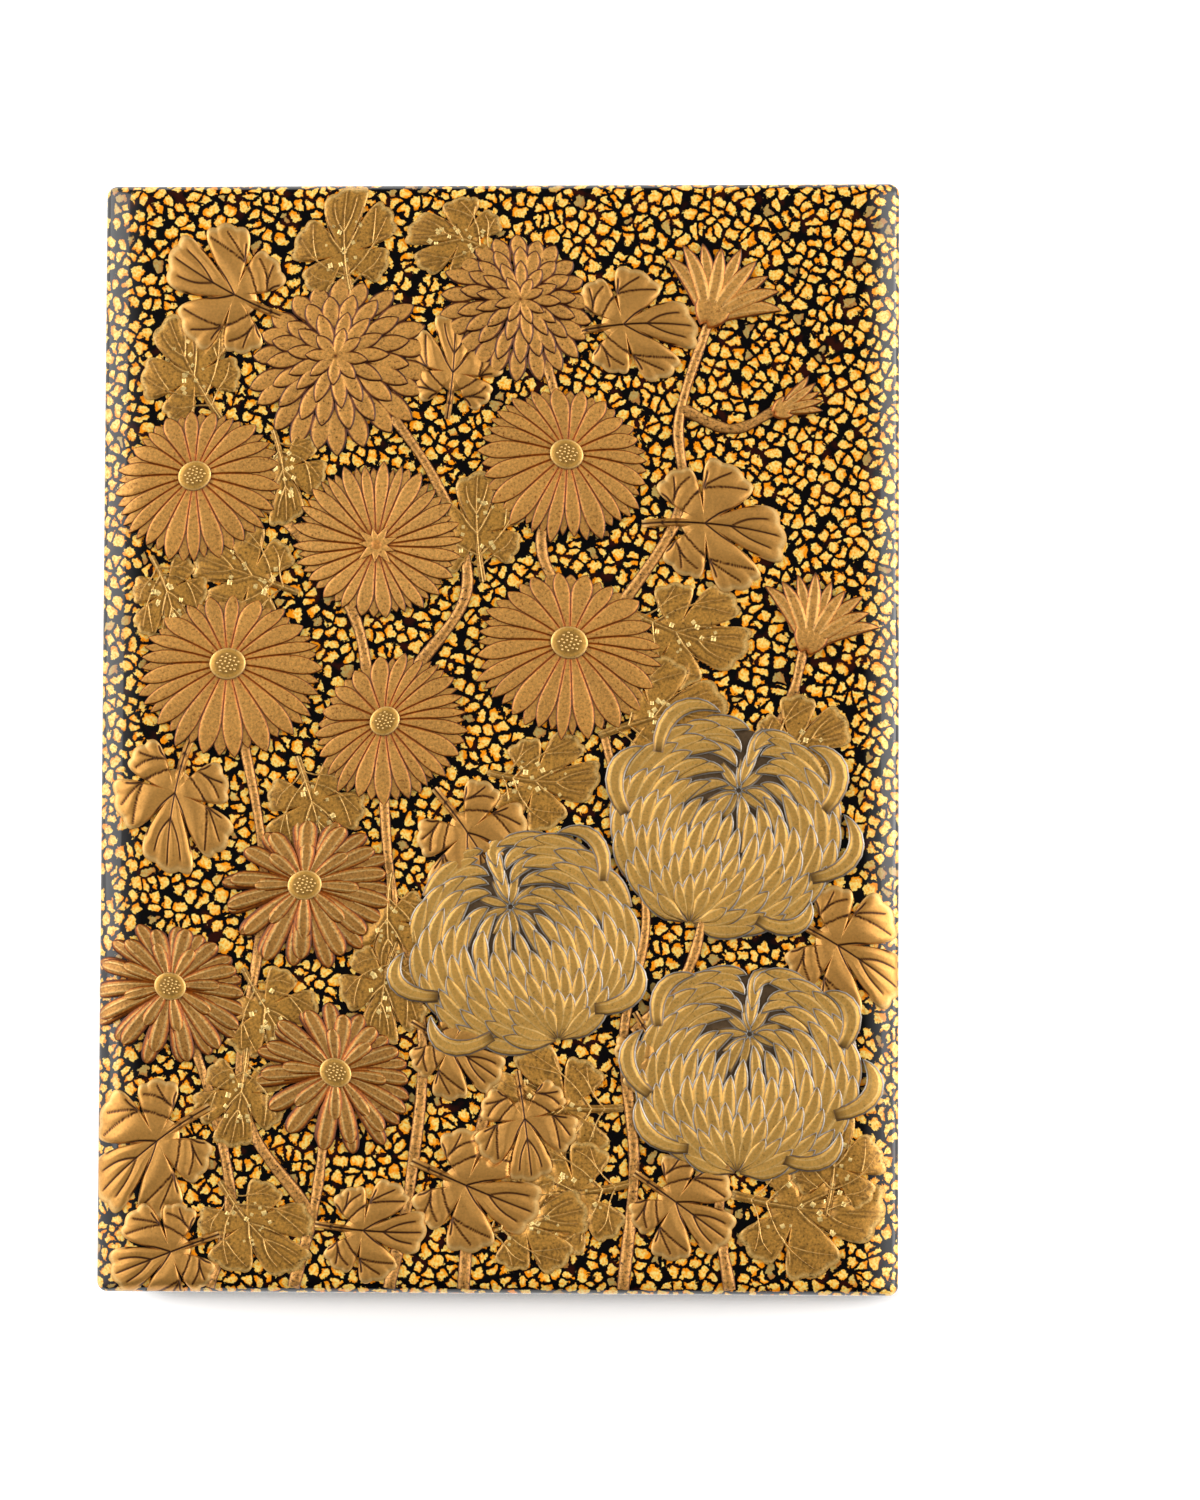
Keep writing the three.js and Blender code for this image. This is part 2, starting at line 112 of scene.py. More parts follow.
def make_mesh(name, points, faces):
    """A mesh from points in millimetres and face arrays, one array for each number of corners."""
    corners = np.concatenate([group.ravel() for group in faces])
    sizes = np.concatenate([np.full(len(group), group.shape[1]) for group in faces])
    starts = np.concatenate([[0], np.cumsum(sizes)[:-1]])
    mesh = bpy.data.meshes.new(name)
    mesh.vertices.add(len(points))
    mesh.vertices.foreach_set("co", (np.asarray(points) * MM).astype(np.float32).ravel())
    mesh.loops.add(len(corners))
    mesh.loops.foreach_set("vertex_index", corners.astype(np.int32))
    mesh.polygons.add(len(sizes))
    mesh.polygons.foreach_set("loop_start", starts.astype(np.int32))
    mesh.update(calc_edges=True)
    piece = bpy.data.objects.new(name, mesh)
    bpy.context.scene.collection.objects.link(piece)
    return piece


def carried_round(name, rows, closed=False):
    """A skin whose profile is carried round the box. Each row makes one ring, and quads join it to
    the next. A closed profile joins its last ring to its first, and an open one ends in two flat
    faces. The skin's map holds unrolled millimetres: over a side wall it is the distance from the
    box's middle line along the surface, so a pattern runs over the edges unbroken."""
    rows = np.asarray(rows, float)
    rings = np.stack([rectangle_ring(*row) for row in rows])
    count, around = rings.shape[:2]
    index = np.arange(count * around).reshape(count, around)
    lower = index if closed else index[:-1]
    upper = np.roll(index, -1, axis=0) if closed else index[1:]
    quads = np.stack([lower, np.roll(lower, -1, 1), np.roll(upper, -1, 1), upper], 2).reshape(-1, 4)
    faces = [quads] if closed else [quads, index[:1, ::-1], index[-1:]]
    piece = make_mesh(name, rings.reshape(-1, 3), faces)
    smooth = np.ones(len(piece.data.polygons), bool)
    if not closed:
        smooth[-2:] = False
    piece.data.polygons.foreach_set("use_smooth", smooth)
    piece.data.set_sharp_from_angle(angle=math.radians(SHARP_TURN))
    unroll(piece)
    return piece


def unroll(piece):
    """Writes the map "surface_mm". On a face that looks mostly to +X or -X it is (reach, y), and on one
    that looks to +Y or -Y (x, reach). The reach is the distance from the middle line plus the fall
    below the lid's top: a third of it over the rolled edge, which is long already, and all of it
    further down. Level faces keep (x, y)."""
    mesh = piece.data
    corners = np.empty(len(mesh.loops), np.int32)
    mesh.loops.foreach_get("vertex_index", corners)
    points = np.empty(len(mesh.vertices) * 3, np.float32)
    mesh.vertices.foreach_get("co", points)
    points = points.reshape(-1, 3)[corners] / MM
    normals = np.empty(len(mesh.polygons) * 3, np.float32)
    mesh.polygons.foreach_get("normal", normals)
    sizes = np.empty(len(mesh.polygons), np.int32)
    mesh.polygons.foreach_get("loop_total", sizes)
    normals = np.repeat(normals.reshape(-1, 3), sizes, axis=0)
    across, along, drop = points[:, 0], points[:, 1], LID_TOP_Z - points[:, 2]
    fall = np.where(drop < EDGE_DROP, ROLL_STRETCH * drop, drop - EDGE_DROP * (1 - ROLL_STRETCH))
    slopes = np.abs(normals[:, 2]) < 0.999
    faces_x = slopes & (np.abs(normals[:, 0]) > np.abs(normals[:, 1]))
    faces_y = slopes & ~faces_x
    place = np.stack([across, along], 1)
    place[faces_x, 0] += np.sign(across[faces_x]) * fall[faces_x]
    place[faces_y, 1] += np.sign(along[faces_y]) * fall[faces_y]
    mesh.uv_layers.new(name="surface_mm").uv.foreach_set("vector", place.astype(np.float32).ravel())


def linear(colour):
    """A colour written as sRGB hex, as the linear values that a shader takes."""
    parts = [int(colour[i:i + 2], 16) / 255 for i in (1, 3, 5)]
    return [p / 12.92 if p <= 0.04045 else ((p + 0.055) / 1.055) ** 2.4 for p in parts] + [1]


def add_node(tree, kind, inputs=None, **settings):
    """Adds one node. Inputs maps a socket's name or number to a value, or to the output linked to it."""
    node = tree.nodes.new(kind)
    for name, value in settings.items():
        setattr(node, name, value)
    for key, value in (inputs or {}).items():
        if isinstance(value, bpy.types.NodeSocket):
            tree.links.new(value, node.inputs[key])
        else:
            node.inputs[key].default_value = value
    return node


def new_finish(name):
    """An empty material, with its node tree and the two nodes that every finish here ends in."""
    finish = bpy.data.materials.new(name)
    finish.use_nodes = True
    tree = finish.node_tree
    tree.nodes.clear()
    surface = add_node(tree, "ShaderNodeBsdfPrincipled")
    add_node(tree, "ShaderNodeOutputMaterial", {"Surface": surface.outputs[0]})
    return finish, tree, surface


LID_TOP_Z = size_of("lid_panel")[3]


def flake_lacquer_finish():
    """Okibirame: gold leaf torn to flakes of about 1 mm, set one by one on black lacquer and levelled
    under clear lacquer. The eye sees bright, slightly tilted chips with ragged outlines, amber on the
    side that dips into the lacquer, under one smooth gloss."""
    finish, tree, surface = new_finish("gold_flake_lacquer")
    place = add_node(tree, "ShaderNodeUVMap", uv_map="surface_mm").outputs[0]
    drift = add_node(tree, "ShaderNodeTexNoise", {"Vector": place, "Scale": 0.5, "Detail": 1.0},
                     noise_dimensions="2D")
    drifted = add_node(tree, "ShaderNodeVectorMath",
                       {0: drift.outputs["Color"], 1: (FLAKE_DRIFT, FLAKE_DRIFT, 0), 2: place},
                       operation="MULTIPLY_ADD").outputs[0]
    drifted = add_node(tree, "ShaderNodeVectorRotate", {0: drifted, "Angle": FLAKE_ROWS_TURN},
                       rotation_type="Z_AXIS").outputs[0]
    cell = {"Vector": drifted, "Scale": 1 / FLAKE_PITCH, "Randomness": 0.86}
    flake = add_node(tree, "ShaderNodeTexVoronoi", cell, voronoi_dimensions="2D")
    border = add_node(tree, "ShaderNodeTexVoronoi", cell, voronoi_dimensions="2D",
                      feature="DISTANCE_TO_EDGE")
    chance = add_node(tree, "ShaderNodeSeparateColor", {0: flake.outputs["Color"]})
    # Each flake takes its own patch of the noises, from its cell's random colour
    own = add_node(tree, "ShaderNodeVectorMath", {0: flake.outputs["Color"], 1: (37, 41, 0), 2: place},
                   operation="MULTIPLY_ADD").outputs[0]
    torn = add_node(tree, "ShaderNodeTexNoise",
                    {"Vector": own, "Scale": 1.7, "Detail": 4.0, "Roughness": 0.62}, noise_dimensions="2D")
    inside = add_node(tree, "ShaderNodeMath", {0: border.outputs["Distance"], 1: FLAKE_PITCH},
                      operation="MULTIPLY").outputs[0]
    tear = add_node(tree, "ShaderNodeMath", {0: torn.outputs[0], 1: FLAKE_TEAR, 2: -FLAKE_TEAR / 2},
                    operation="MULTIPLY_ADD").outputs[0]
    apart = add_node(tree, "ShaderNodeMath", {0: inside, 1: -FLAKE_LEAST_GAP / 2},
                     operation="ADD").outputs[0]
    ragged = add_node(tree, "ShaderNodeMath", {0: inside, 1: tear}, operation="ADD").outputs[0]
    ragged = add_node(tree, "ShaderNodeMath", {0: ragged, 1: -FLAKE_GAP / 2}, operation="ADD").outputs[0]
    rounded = add_node(tree, "ShaderNodeMath", {0: flake.outputs["Distance"], 1: -FLAKE_PITCH, 2: tear},
                       operation="MULTIPLY_ADD").outputs[0]
    rounded = add_node(tree, "ShaderNodeMath", {0: rounded, 1: FLAKE_REACH}, operation="ADD").outputs[0]
    reach = add_node(tree, "ShaderNodeMath", {0: apart, 1: ragged}, operation="MINIMUM").outputs[0]
    reach = add_node(tree, "ShaderNodeMath", {0: reach, 1: rounded}, operation="MINIMUM").outputs[0]
    gold = add_node(tree, "ShaderNodeMapRange", {0: reach, 1: -FLAKE_OUTLINE, 2: FLAKE_OUTLINE}).outputs[0]

    from_middle = add_node(tree, "ShaderNodeVectorMath", {0: drifted, 1: flake.outputs["Position"]},
                           operation="SUBTRACT").outputs[0]
    lean = add_node(tree, "ShaderNodeVectorMath", {0: flake.outputs["Color"], 1: (0.5, 0.5, 0.5)},
                    operation="SUBTRACT").outputs[0]
    side = add_node(tree, "ShaderNodeVectorMath", {0: from_middle, 1: lean},
                    operation="DOT_PRODUCT").outputs["Value"]
    blotch = add_node(tree, "ShaderNodeTexNoise", {"Vector": own, "Scale": 2.0, "Detail": 3.0},
                      noise_dimensions="2D").outputs[0]
    thick = add_node(tree, "ShaderNodeMath", {0: side, 1: 1.6, 2: blotch},
                     operation="MULTIPLY_ADD").outputs[0]
    thick = add_node(tree, "ShaderNodeMath", {0: reach, 1: -0.9, 2: thick},
                     operation="MULTIPLY_ADD").outputs[0]
    amber = add_node(tree, "ShaderNodeMapRange", {0: thick, 1: 0.38, 2: 0.58}).outputs[0]
    crumple = add_node(tree, "ShaderNodeTexNoise", {"Vector": own, "Scale": 4.0, "Detail": 3.0},
                       noise_dimensions="2D").outputs[0]
    pale = add_node(tree, "ShaderNodeMapRange", {0: crumple, 1: 0.34, 2: 0.6}).outputs[0]
    leaf = add_node(tree, "ShaderNodeMix", {0: pale, 6: linear("#FFAC20"), 7: linear("#FFE07C")},
                    data_type="RGBA").outputs[2]
    leaf = add_node(tree, "ShaderNodeMix", {0: amber, 6: leaf, 7: linear("#FF960E")},
                    data_type="RGBA").outputs[2]
    dull = add_node(tree, "ShaderNodeMapRange", {0: chance.outputs[0], 1: 0.95, 2: 0.97, 4: 0.7}).outputs[0]
    leaf = add_node(tree, "ShaderNodeMix", {0: dull, 6: leaf, 7: linear("#7E6A45")},
                    data_type="RGBA").outputs[2]
    stain = add_node(tree, "ShaderNodeMapRange", {0: drift.outputs[0], 1: 0.6, 2: 0.72}).outputs[0]
    ground = add_node(tree, "ShaderNodeMix", {0: stain, 6: linear("#050303"), 7: linear("#2C0B04")},
                      data_type="RGBA").outputs[2]
    colour = add_node(tree, "ShaderNodeMix", {0: gold, 6: ground, 7: leaf}, data_type="RGBA").outputs[2]

    tilt = add_node(tree, "ShaderNodeMath", {0: side, 1: 0.3, 2: 0.03}, operation="MULTIPLY_ADD").outputs[0]
    rise = add_node(tree, "ShaderNodeMath", {0: crumple, 1: 0.06, 2: tilt},
                    operation="MULTIPLY_ADD").outputs[0]
    rise = add_node(tree, "ShaderNodeMath", {0: rise, 1: gold}, operation="MULTIPLY").outputs[0]
    bump = add_node(tree, "ShaderNodeBump", {"Height": rise, "Distance": MM, "Strength": 0.7})

    metal = add_node(tree, "ShaderNodeMath", {0: gold, 1: 0.12}, operation="MULTIPLY").outputs[0]
    tree.links.new(colour, surface.inputs["Base Color"])
    tree.links.new(metal, surface.inputs["Metallic"])
    tree.links.new(bump.outputs[0], surface.inputs["Normal"])
    surface.inputs["Roughness"].default_value = 0.4
    surface.inputs["Specular IOR Level"].default_value = 0.05
    surface.inputs["Coat Weight"].default_value = 1.0
    surface.inputs["Coat Roughness"].default_value = 0.07
    surface.inputs["Coat IOR"].default_value = 1.5
    return finish


def sprinkled_lacquer_finish():
    """Nashiji: gold powder of 0.1 to 0.3 mm sprinkled on brown lacquer and sealed under amber clear
    lacquer. The eye sees an even orange-brown gloss with fine gold points. All of the powder is drawn
    at its coarsest so that it shows."""
    finish, tree, surface = new_finish("sprinkled_gold_lacquer")
    place = add_node(tree, "ShaderNodeTexCoord").outputs["Object"]
    grain = add_node(tree, "ShaderNodeTexVoronoi", {"Vector": place, "Scale": 1 / (POWDER_PITCH * MM)})
    chance = add_node(tree, "ShaderNodeSeparateColor", {0: grain.outputs["Color"]})
    near = add_node(tree, "ShaderNodeMapRange", {0: grain.outputs["Distance"], 1: 0.46, 2: 0.3}).outputs[0]
    picked = add_node(tree, "ShaderNodeMapRange", {0: chance.outputs[0], 1: 0.05, 2: 0.4}).outputs[0]
    point = add_node(tree, "ShaderNodeMath", {0: near, 1: picked}, operation="MULTIPLY").outputs[0]
    cloud = add_node(tree, "ShaderNodeTexNoise",
                     {"Vector": place, "Scale": 1 / (POWDER_CLOUD * MM), "Detail": 2.0}).outputs[0]
    ground = add_node(tree, "ShaderNodeMix", {0: cloud, 6: linear("#6E3A10"), 7: linear("#8C5218")},
                      data_type="RGBA").outputs[2]
    powder = add_node(tree, "ShaderNodeMix",
                      {0: chance.outputs[1], 6: linear("#D6962F"), 7: linear("#F2CA6C")},
                      data_type="RGBA").outputs[2]
    colour = add_node(tree, "ShaderNodeMix", {0: point, 6: ground, 7: powder}, data_type="RGBA").outputs[2]
    metal = add_node(tree, "ShaderNodeMath", {0: point, 1: 0.8}, operation="MULTIPLY").outputs[0]
    tree.links.new(colour, surface.inputs["Base Color"])
    tree.links.new(metal, surface.inputs["Metallic"])
    surface.inputs["Roughness"].default_value = 0.4
    surface.inputs["Coat Weight"].default_value = 1.0
    surface.inputs["Coat Roughness"].default_value = 0.08
    surface.inputs["Coat IOR"].default_value = 1.5
    return finish


gold_flakes = flake_lacquer_finish()
sprinkled_gold = sprinkled_lacquer_finish()


def dress_skin(piece, outside_rows):
    """Gives a skin its two finishes: flakes on the faces made by its outside rows, and sprinkled gold
    on the rest. A row's number is the face's number over the points in a ring."""
    piece.data.materials.append(gold_flakes)
    piece.data.materials.append(sprinkled_gold)
    face_row = np.arange(len(piece.data.polygons)) // (4 * ARC_POINTS)
    inside = ~np.isin(face_row, outside_rows)
    piece.data.polygons.foreach_set("material_index", inside.astype(np.int32))


foot = quarter_round(
    (BOX_HALF_X - FOOT_ROUND, BOX_HALF_Y - FOOT_ROUND, FOOT_CORNER_RADIUS, FLOOR_Z),
    (BOX_HALF_X, BOX_HALF_Y, CORNER_RADIUS, FLOOR_Z + FOOT_ROUND), FOOT_STEPS, "plan")
base_rows = np.vstack([
    foot,
    [BOX_HALF_X, BOX_HALF_Y, CORNER_RADIUS, BASE_MOUTH_Z],
    [LIP_HALF_X, LIP_HALF_Y, INNER_CORNER_RADIUS, BASE_MOUTH_Z],
    [LIP_HALF_X, LIP_HALF_Y, INNER_CORNER_RADIUS, INNER_FLOOR_Z],
])
lower_box = carried_round("lower_box_lacquer", base_rows)
dress_skin(lower_box, np.arange(len(foot)))
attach(lower_box, "base")
sides = ("left", "right", "front", "back")
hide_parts("base_panel", *[f"base_wall_{s}" for s in sides])

# Silver rims
# A thin band of silver is let into the mouth of the lower box and of the lid, where the edges would
# wear. It is filed flush and its arrises are eased, and it has gone slightly grey.

RIM_EASE = 0.12
RIM_EASE_STEPS = 4
TARNISH_CLOUD = 4


def silver_finish():
    """Silver, filed and rubbed smooth, with faint tarnish: pale grey metal that is a little warmer and
    duller in patches."""
    finish, tree, surface = new_finish("worn_silver")
    place = add_node(tree, "ShaderNodeTexCoord").outputs["Object"]
    cloud = add_node(tree, "ShaderNodeTexNoise",
                     {"Vector": place, "Scale": 1 / (TARNISH_CLOUD * MM), "Detail": 4.0}).outputs[0]
    colour = add_node(tree, "ShaderNodeMix", {0: cloud, 6: linear("#8E887C"), 7: linear("#D2CEC4")},
                      data_type="RGBA").outputs[2]
    rough = add_node(tree, "ShaderNodeMapRange", {0: cloud, 1: 0.3, 2: 0.7, 3: 0.42, 4: 0.24}).outputs[0]
    tree.links.new(colour, surface.inputs["Base Color"])
    tree.links.new(rough, surface.inputs["Roughness"])
    surface.inputs["Metallic"].default_value = 1.0
    return finish


worn_silver = silver_finish()


def silver_rim(name, node, inner_x, inner_y, body):
    """A closed band round the mouth: a rectangle in section with its two outer arrises eased."""
    half_x, half_y, low, high = size_of(node)
    inset = (half_x - RIM_EASE, half_y - RIM_EASE, CORNER_RADIUS - RIM_EASE)
    full = (half_x, half_y, CORNER_RADIUS)
    rows = np.vstack([
        quarter_round((*inset, low), (*full, low + RIM_EASE), RIM_EASE_STEPS, "plan"),
        quarter_round((*full, high - RIM_EASE), (*inset, high), RIM_EASE_STEPS, "height"),
        [inner_x, inner_y, INNER_CORNER_RADIUS, high],
        [inner_x, inner_y, INNER_CORNER_RADIUS, low],
    ])
    rim = carried_round(name, rows, closed=True)
    rim.data.materials.append(worn_silver)
    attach(rim, body)
    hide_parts(node)


silver_rim("base_silver_rim", "base_rim", LIP_HALF_X, LIP_HALF_Y, "base")

# Inner lip
# Four thin strips glued inside the lower box, standing up into the lid. They are lacquered as one,
# with a rounded top edge that guides the lid.

LIP_TOP_Z = size_of("lip_right")[3]
LIP_INNER_X, LIP_INNER_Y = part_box("lip_right")[0].x / MM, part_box("lip_back")[0].y / MM
LIP_ROUND = 0.45
ROUND_STEPS = 6
lip_outer = (LIP_HALF_X, LIP_HALF_Y, INNER_CORNER_RADIUS)
lip_inner = (LIP_INNER_X, LIP_INNER_Y, INNER_CORNER_RADIUS)


def moved_in(row, inset):
    """A row's half sizes moved inwards by inset, or outwards where it is negative."""
    return row[0] - inset, row[1] - inset, row[2]


def upper_arris(outline, top, radius):
    """Rows that round over from an outline to the level top inside it."""
    return quarter_round((*outline, top - radius), (*moved_in(outline, radius), top), ROUND_STEPS, "height")


def inner_arris(opening, top, radius):
    """Rows that round over from a level top to the opening inside it."""
    return quarter_round((*moved_in(opening, -radius), top), (*opening, top - radius), ROUND_STEPS, "plan")


lip_rows = np.vstack([
    [*lip_outer, INNER_FLOOR_Z],
    upper_arris(lip_outer, LIP_TOP_Z, LIP_ROUND),
    inner_arris(lip_inner, LIP_TOP_Z, LIP_ROUND),
    [*lip_inner, INNER_FLOOR_Z],
])
lip = carried_round("inner_lip_lacquer", lip_rows, closed=True)
lip.data.materials.append(sprinkled_gold)
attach(lip, "base")
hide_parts("lip_left", "lip_right", "lip_front", "lip_back")

# Tray
# A shallow tray of thin boards whose turned-out rim hangs on the inner lip. It is lacquered all
# over with sprinkled gold, and its rim is rounded.

TRAY_HALF_X, TRAY_HALF_Y, TRAY_LOW_Z, TRAY_FLOOR_Z = size_of("tray_floor")
RIM_HALF_X, RIM_HALF_Y = size_of("tray_flange_right")[0], size_of("tray_flange_back")[1]
RIM_LOW_Z, RIM_TOP_Z = size_of("tray_flange_right")[2:]
WELL_X, WELL_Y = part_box("tray_flange_right")[0].x / MM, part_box("tray_flange_back")[0].y / MM
TRAY_ROUND = 0.5
tray_outer = (TRAY_HALF_X, TRAY_HALF_Y, INNER_CORNER_RADIUS)
tray_rim = (RIM_HALF_X, RIM_HALF_Y, INNER_CORNER_RADIUS)
tray_well = (WELL_X, WELL_Y, INNER_CORNER_RADIUS)
tray_rows = np.vstack([
    quarter_round((*moved_in(tray_outer, TRAY_ROUND), TRAY_LOW_Z),
                  (*tray_outer, TRAY_LOW_Z + TRAY_ROUND), ROUND_STEPS, "plan"),
    [*tray_outer, RIM_LOW_Z],
    [*tray_rim, RIM_LOW_Z],
    upper_arris(tray_rim, RIM_TOP_Z, TRAY_ROUND),
    inner_arris(tray_well, RIM_TOP_Z, TRAY_ROUND),
    quarter_round((*tray_well, TRAY_FLOOR_Z + TRAY_ROUND),
                  (*moved_in(tray_well, TRAY_ROUND), TRAY_FLOOR_Z), ROUND_STEPS, "height"),
])
tray = carried_round("tray_lacquer", tray_rows)
tray.data.materials.append(sprinkled_gold)
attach(tray, "tray")
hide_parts("tray_floor", *[f"tray_wall_{s}" for s in sides], *[f"tray_flange_{s}" for s in sides])

# Lid
# A top board and four walls under the same flake lacquer. The long edges roll over softly and the
# short ones tightly, and the inside is sprinkled gold.

LID_MOUTH_Z = size_of("lid_rim")[3]
LID_CEILING_Z = size_of("lid_panel")[2]
LID_INNER_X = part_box("lid_wall_right")[0].x / MM
LID_INNER_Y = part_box("lid_wall_back")[0].y / MM
LONG_EDGE_ROLL = 4.0
SHORT_EDGE_ROLL = 1.4
FIELD_CORNER_RADIUS = 0.4
ROLL_STEPS = 16
lid_inner = (LID_INNER_X, LID_INNER_Y, INNER_CORNER_RADIUS)
lid_outer = (BOX_HALF_X, BOX_HALF_Y, CORNER_RADIUS)
lid_field = (BOX_HALF_X - LONG_EDGE_ROLL, BOX_HALF_Y - SHORT_EDGE_ROLL, FIELD_CORNER_RADIUS)
lid_roll = quarter_round((*lid_outer, LID_TOP_Z - EDGE_DROP), (*lid_field, LID_TOP_Z), ROLL_STEPS, "height")
lid_rows = np.vstack([
    [*lid_inner, LID_CEILING_Z],
    [*lid_inner, LID_MOUTH_Z],
    [*lid_outer, LID_MOUTH_Z],
    lid_roll,
])
lid = carried_round("lid_lacquer", lid_rows)
dress_skin(lid, np.arange(2, len(lid_rows)))
# The two flat faces that close the skin: flakes on the lid's top, sprinkled gold on its ceiling
lid.data.polygons[-1].material_index = 0
lid.data.polygons[-2].material_index = 1
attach(lid, "lid")
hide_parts("lid_panel", *[f"lid_wall_{s}" for s in sides])
silver_rim("lid_silver_rim", "lid_rim", LID_INNER_X, LID_INNER_Y, "lid")

# Raised ornament: leaves
# Takamaki-e: built up in layers of lacquer and charcoal powder, then dusted with gold powder while
# tacky. Some leaves are high, polished and cut with fine veins; the others are lower and greener in
# tone, with thin raised veins and little squares of cut gold.

RELIEF_SINK = 0.15
RELIEF_SHARP_TURN = 62
TRIM = 0.1
TRIM_X = BOX_HALF_X - TRIM
TRIM_Y = BOX_HALF_Y - TRIM
# The blooms' places stand here, as the leaves and stems sink where a bloom lies over them
BLOOMS = [
    # kind, across, along, radius, turn in degrees, direction that it faces in degrees
    ("double", -15, 35, 9.0, 10, 120), ("double", 1.5, 40.5, 7.6, 40, 60),
    ("flat", -28.5, 23.5, 8.4, 5, 110), ("back", -11.5, 18.5, 8.4, 20, 260), ("flat", 6, 25.5, 8.5, 50, 70),
    ("flat", -25.5, 5.5, 9.1, 15, 95), ("flat", 6.5, 7.5, 9.3, 0, 80), ("flat", -10, 0.5, 7.9, 30, 130),
    ("incurved", 21.5, -8.5, 10.2, 0, 70), ("incurved", 2.5, -19.5, 10.2, 25, 110),
    ("incurved", 23.5, -31.5, 10.0, 50, 85), ("crowned", -18, -15, 8.6, 0, 100),
    ("crowned", -31, -24.5, 8.0, 12, 75), ("crowned", -15.5, -32.5, 8.2, 40, 60),
]
SQUASH = {"flat": 0.87, "crowned": 0.86, "back": 0.92, "double": 0.92, "incurved": 0.96}
LEAN = {"flat": 0.14, "crowned": 0.1, "back": 0.06, "double": 0.12, "incurved": 0.0}
BLOOM_COVER_FROM = 0.78
BLOOM_COVER_EASE = 0.17
UNDER_BLOOM_HEIGHT = 0.1
LEAF_COVER_FROM = 0.97
LEAF_COVER_EASE = 0.11
UNDER_LEAF_HEIGHT = 0.06
GRAIN_PITCH = 0.26
GRAIN_DEPTH = 0.03
GOLD_CLOUD = 3
bloom_centres = np.array([bloom[1:3] for bloom in BLOOMS])
bloom_radii = np.array([bloom[3] for bloom in BLOOMS])
bloom_squash = np.array([SQUASH[bloom[0]] for bloom in BLOOMS])
bloom_facing = np.radians([bloom[5] for bloom in BLOOMS])


def lid_height(x, y):
    """Height of the lid's surface: flat, then down a quarter ellipse over each rolled edge."""
    over_x = np.clip((np.abs(x) - lid_field[0]) / LONG_EDGE_ROLL, 0, 1)
    over_y = np.clip((np.abs(y) - lid_field[1]) / SHORT_EDGE_ROLL, 0, 1)
    return LID_TOP_Z - EDGE_DROP * (1 - np.sqrt(1 - np.maximum(over_x, over_y) ** 2))


def eased(share):
    """A share kept between 0 and 1, and eased at both ends: three squares less two cubes."""
    share = np.clip(share, 0, 1)
    return share * share * (3 - 2 * share)


def sink_under_blooms(plan, height):
    """Lowers what passes under a bloom, so that the petals lie over it: full height outside the
    bloom's radius, falling smoothly to a tenth of a millimetre well inside it."""
    offset = plan[..., None, :] - bloom_centres
    along = offset[..., 0] * np.cos(bloom_facing) + offset[..., 1] * np.sin(bloom_facing)
    away = np.sqrt((offset ** 2).sum(-1) + along ** 2 * (bloom_squash ** -2 - 1)) / bloom_radii
    share = eased((away.min(-1) - BLOOM_COVER_FROM) / BLOOM_COVER_EASE)
    return UNDER_BLOOM_HEIGHT * (1 - share) + height * share


def strips(path, half_width, across, height):
    """Closed strips laid along paths. At each step of a path the section runs over the top from the
    left edge (across +1) to the right edge (across -1), and then straight back under it."""
    step = np.gradient(path, axis=1)
    step = step / np.linalg.norm(step, axis=-1, keepdims=True)
    left = np.stack([-step[..., 1], step[..., 0]], -1)
    offset = np.broadcast_to(half_width, path.shape[:2])[..., None] * across
    plan = path[:, :, None] + left[:, :, None] * offset[..., None]
    top = np.concatenate([plan, np.broadcast_to(height, offset.shape)[..., None]], -1)
    return np.concatenate([top[:, :, :1], top, top[:, :, -1:]], 2)


def relief_piece(name, parts, finish):
    """Lays closed shells on the lid as one piece. A part is a pair: rings, an array (shells, rings,
    points round, x y height above the lid), and shade, a value of groove, crest and tone for each of
    those points. Quads join ring to ring, and a flat face closes each end."""
    points, shades, quads, caps, start = [], [], [], [], 0
    for rings, shade in parts:
        shells, count, around = rings.shape[:3]
        index = start + np.arange(shells * count * around).reshape(shells, count, around)
        start += index.size
        onward = np.roll(index, -1, axis=2)
        corners = [index[:, :-1], onward[:, :-1], onward[:, 1:], index[:, 1:]]
        quads.append(np.stack(corners, 3).reshape(-1, 4))
        caps += [index[:, 0, ::-1], index[:, -1]]
        points.append(rings.reshape(-1, 3))
        shades.append(np.broadcast_to(shade, rings.shape).reshape(-1, 3))
    points = np.concatenate(points)
    x = np.clip(points[:, 0], -TRIM_X, TRIM_X)
    y = np.clip(points[:, 1], -TRIM_Y, TRIM_Y)
    draped = np.stack([x, y, lid_height(x, y) + points[:, 2]], 1)
    piece = make_mesh(name, draped, quads + caps)
    mesh = piece.data
    mesh.polygons.foreach_set("use_smooth", np.ones(len(mesh.polygons), bool))
    mesh.set_sharp_from_angle(angle=math.radians(RELIEF_SHARP_TURN))
    shades = np.concatenate(shades)
    shades = np.hstack([shades, np.ones((len(shades), 1))]).astype(np.float32)
    mesh.attributes.new("relief_shade", "FLOAT_COLOR", "POINT").data.foreach_set("color", shades.ravel())
    mesh.materials.append(finish)
    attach(piece, "lid")
    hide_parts("raised_ornament")


def shade_of(groove, crest, tone):
    """Groove, crest and tone as one array with the last axis of three."""
    return np.stack(np.broadcast_arrays(groove, crest, tone), -1)


def close_under(shade):
    """The shade of a strip's section, with its two lower corners taken from its edges."""
    return np.concatenate([shade[:, :, :1], shade, shade[:, :, -1:]], 2)


def sunk(rings):
    """Strips with the first and last point of each section sunk into the lid."""
    rings[:, :, [0, -1], 2] = -RELIEF_SINK
    return rings


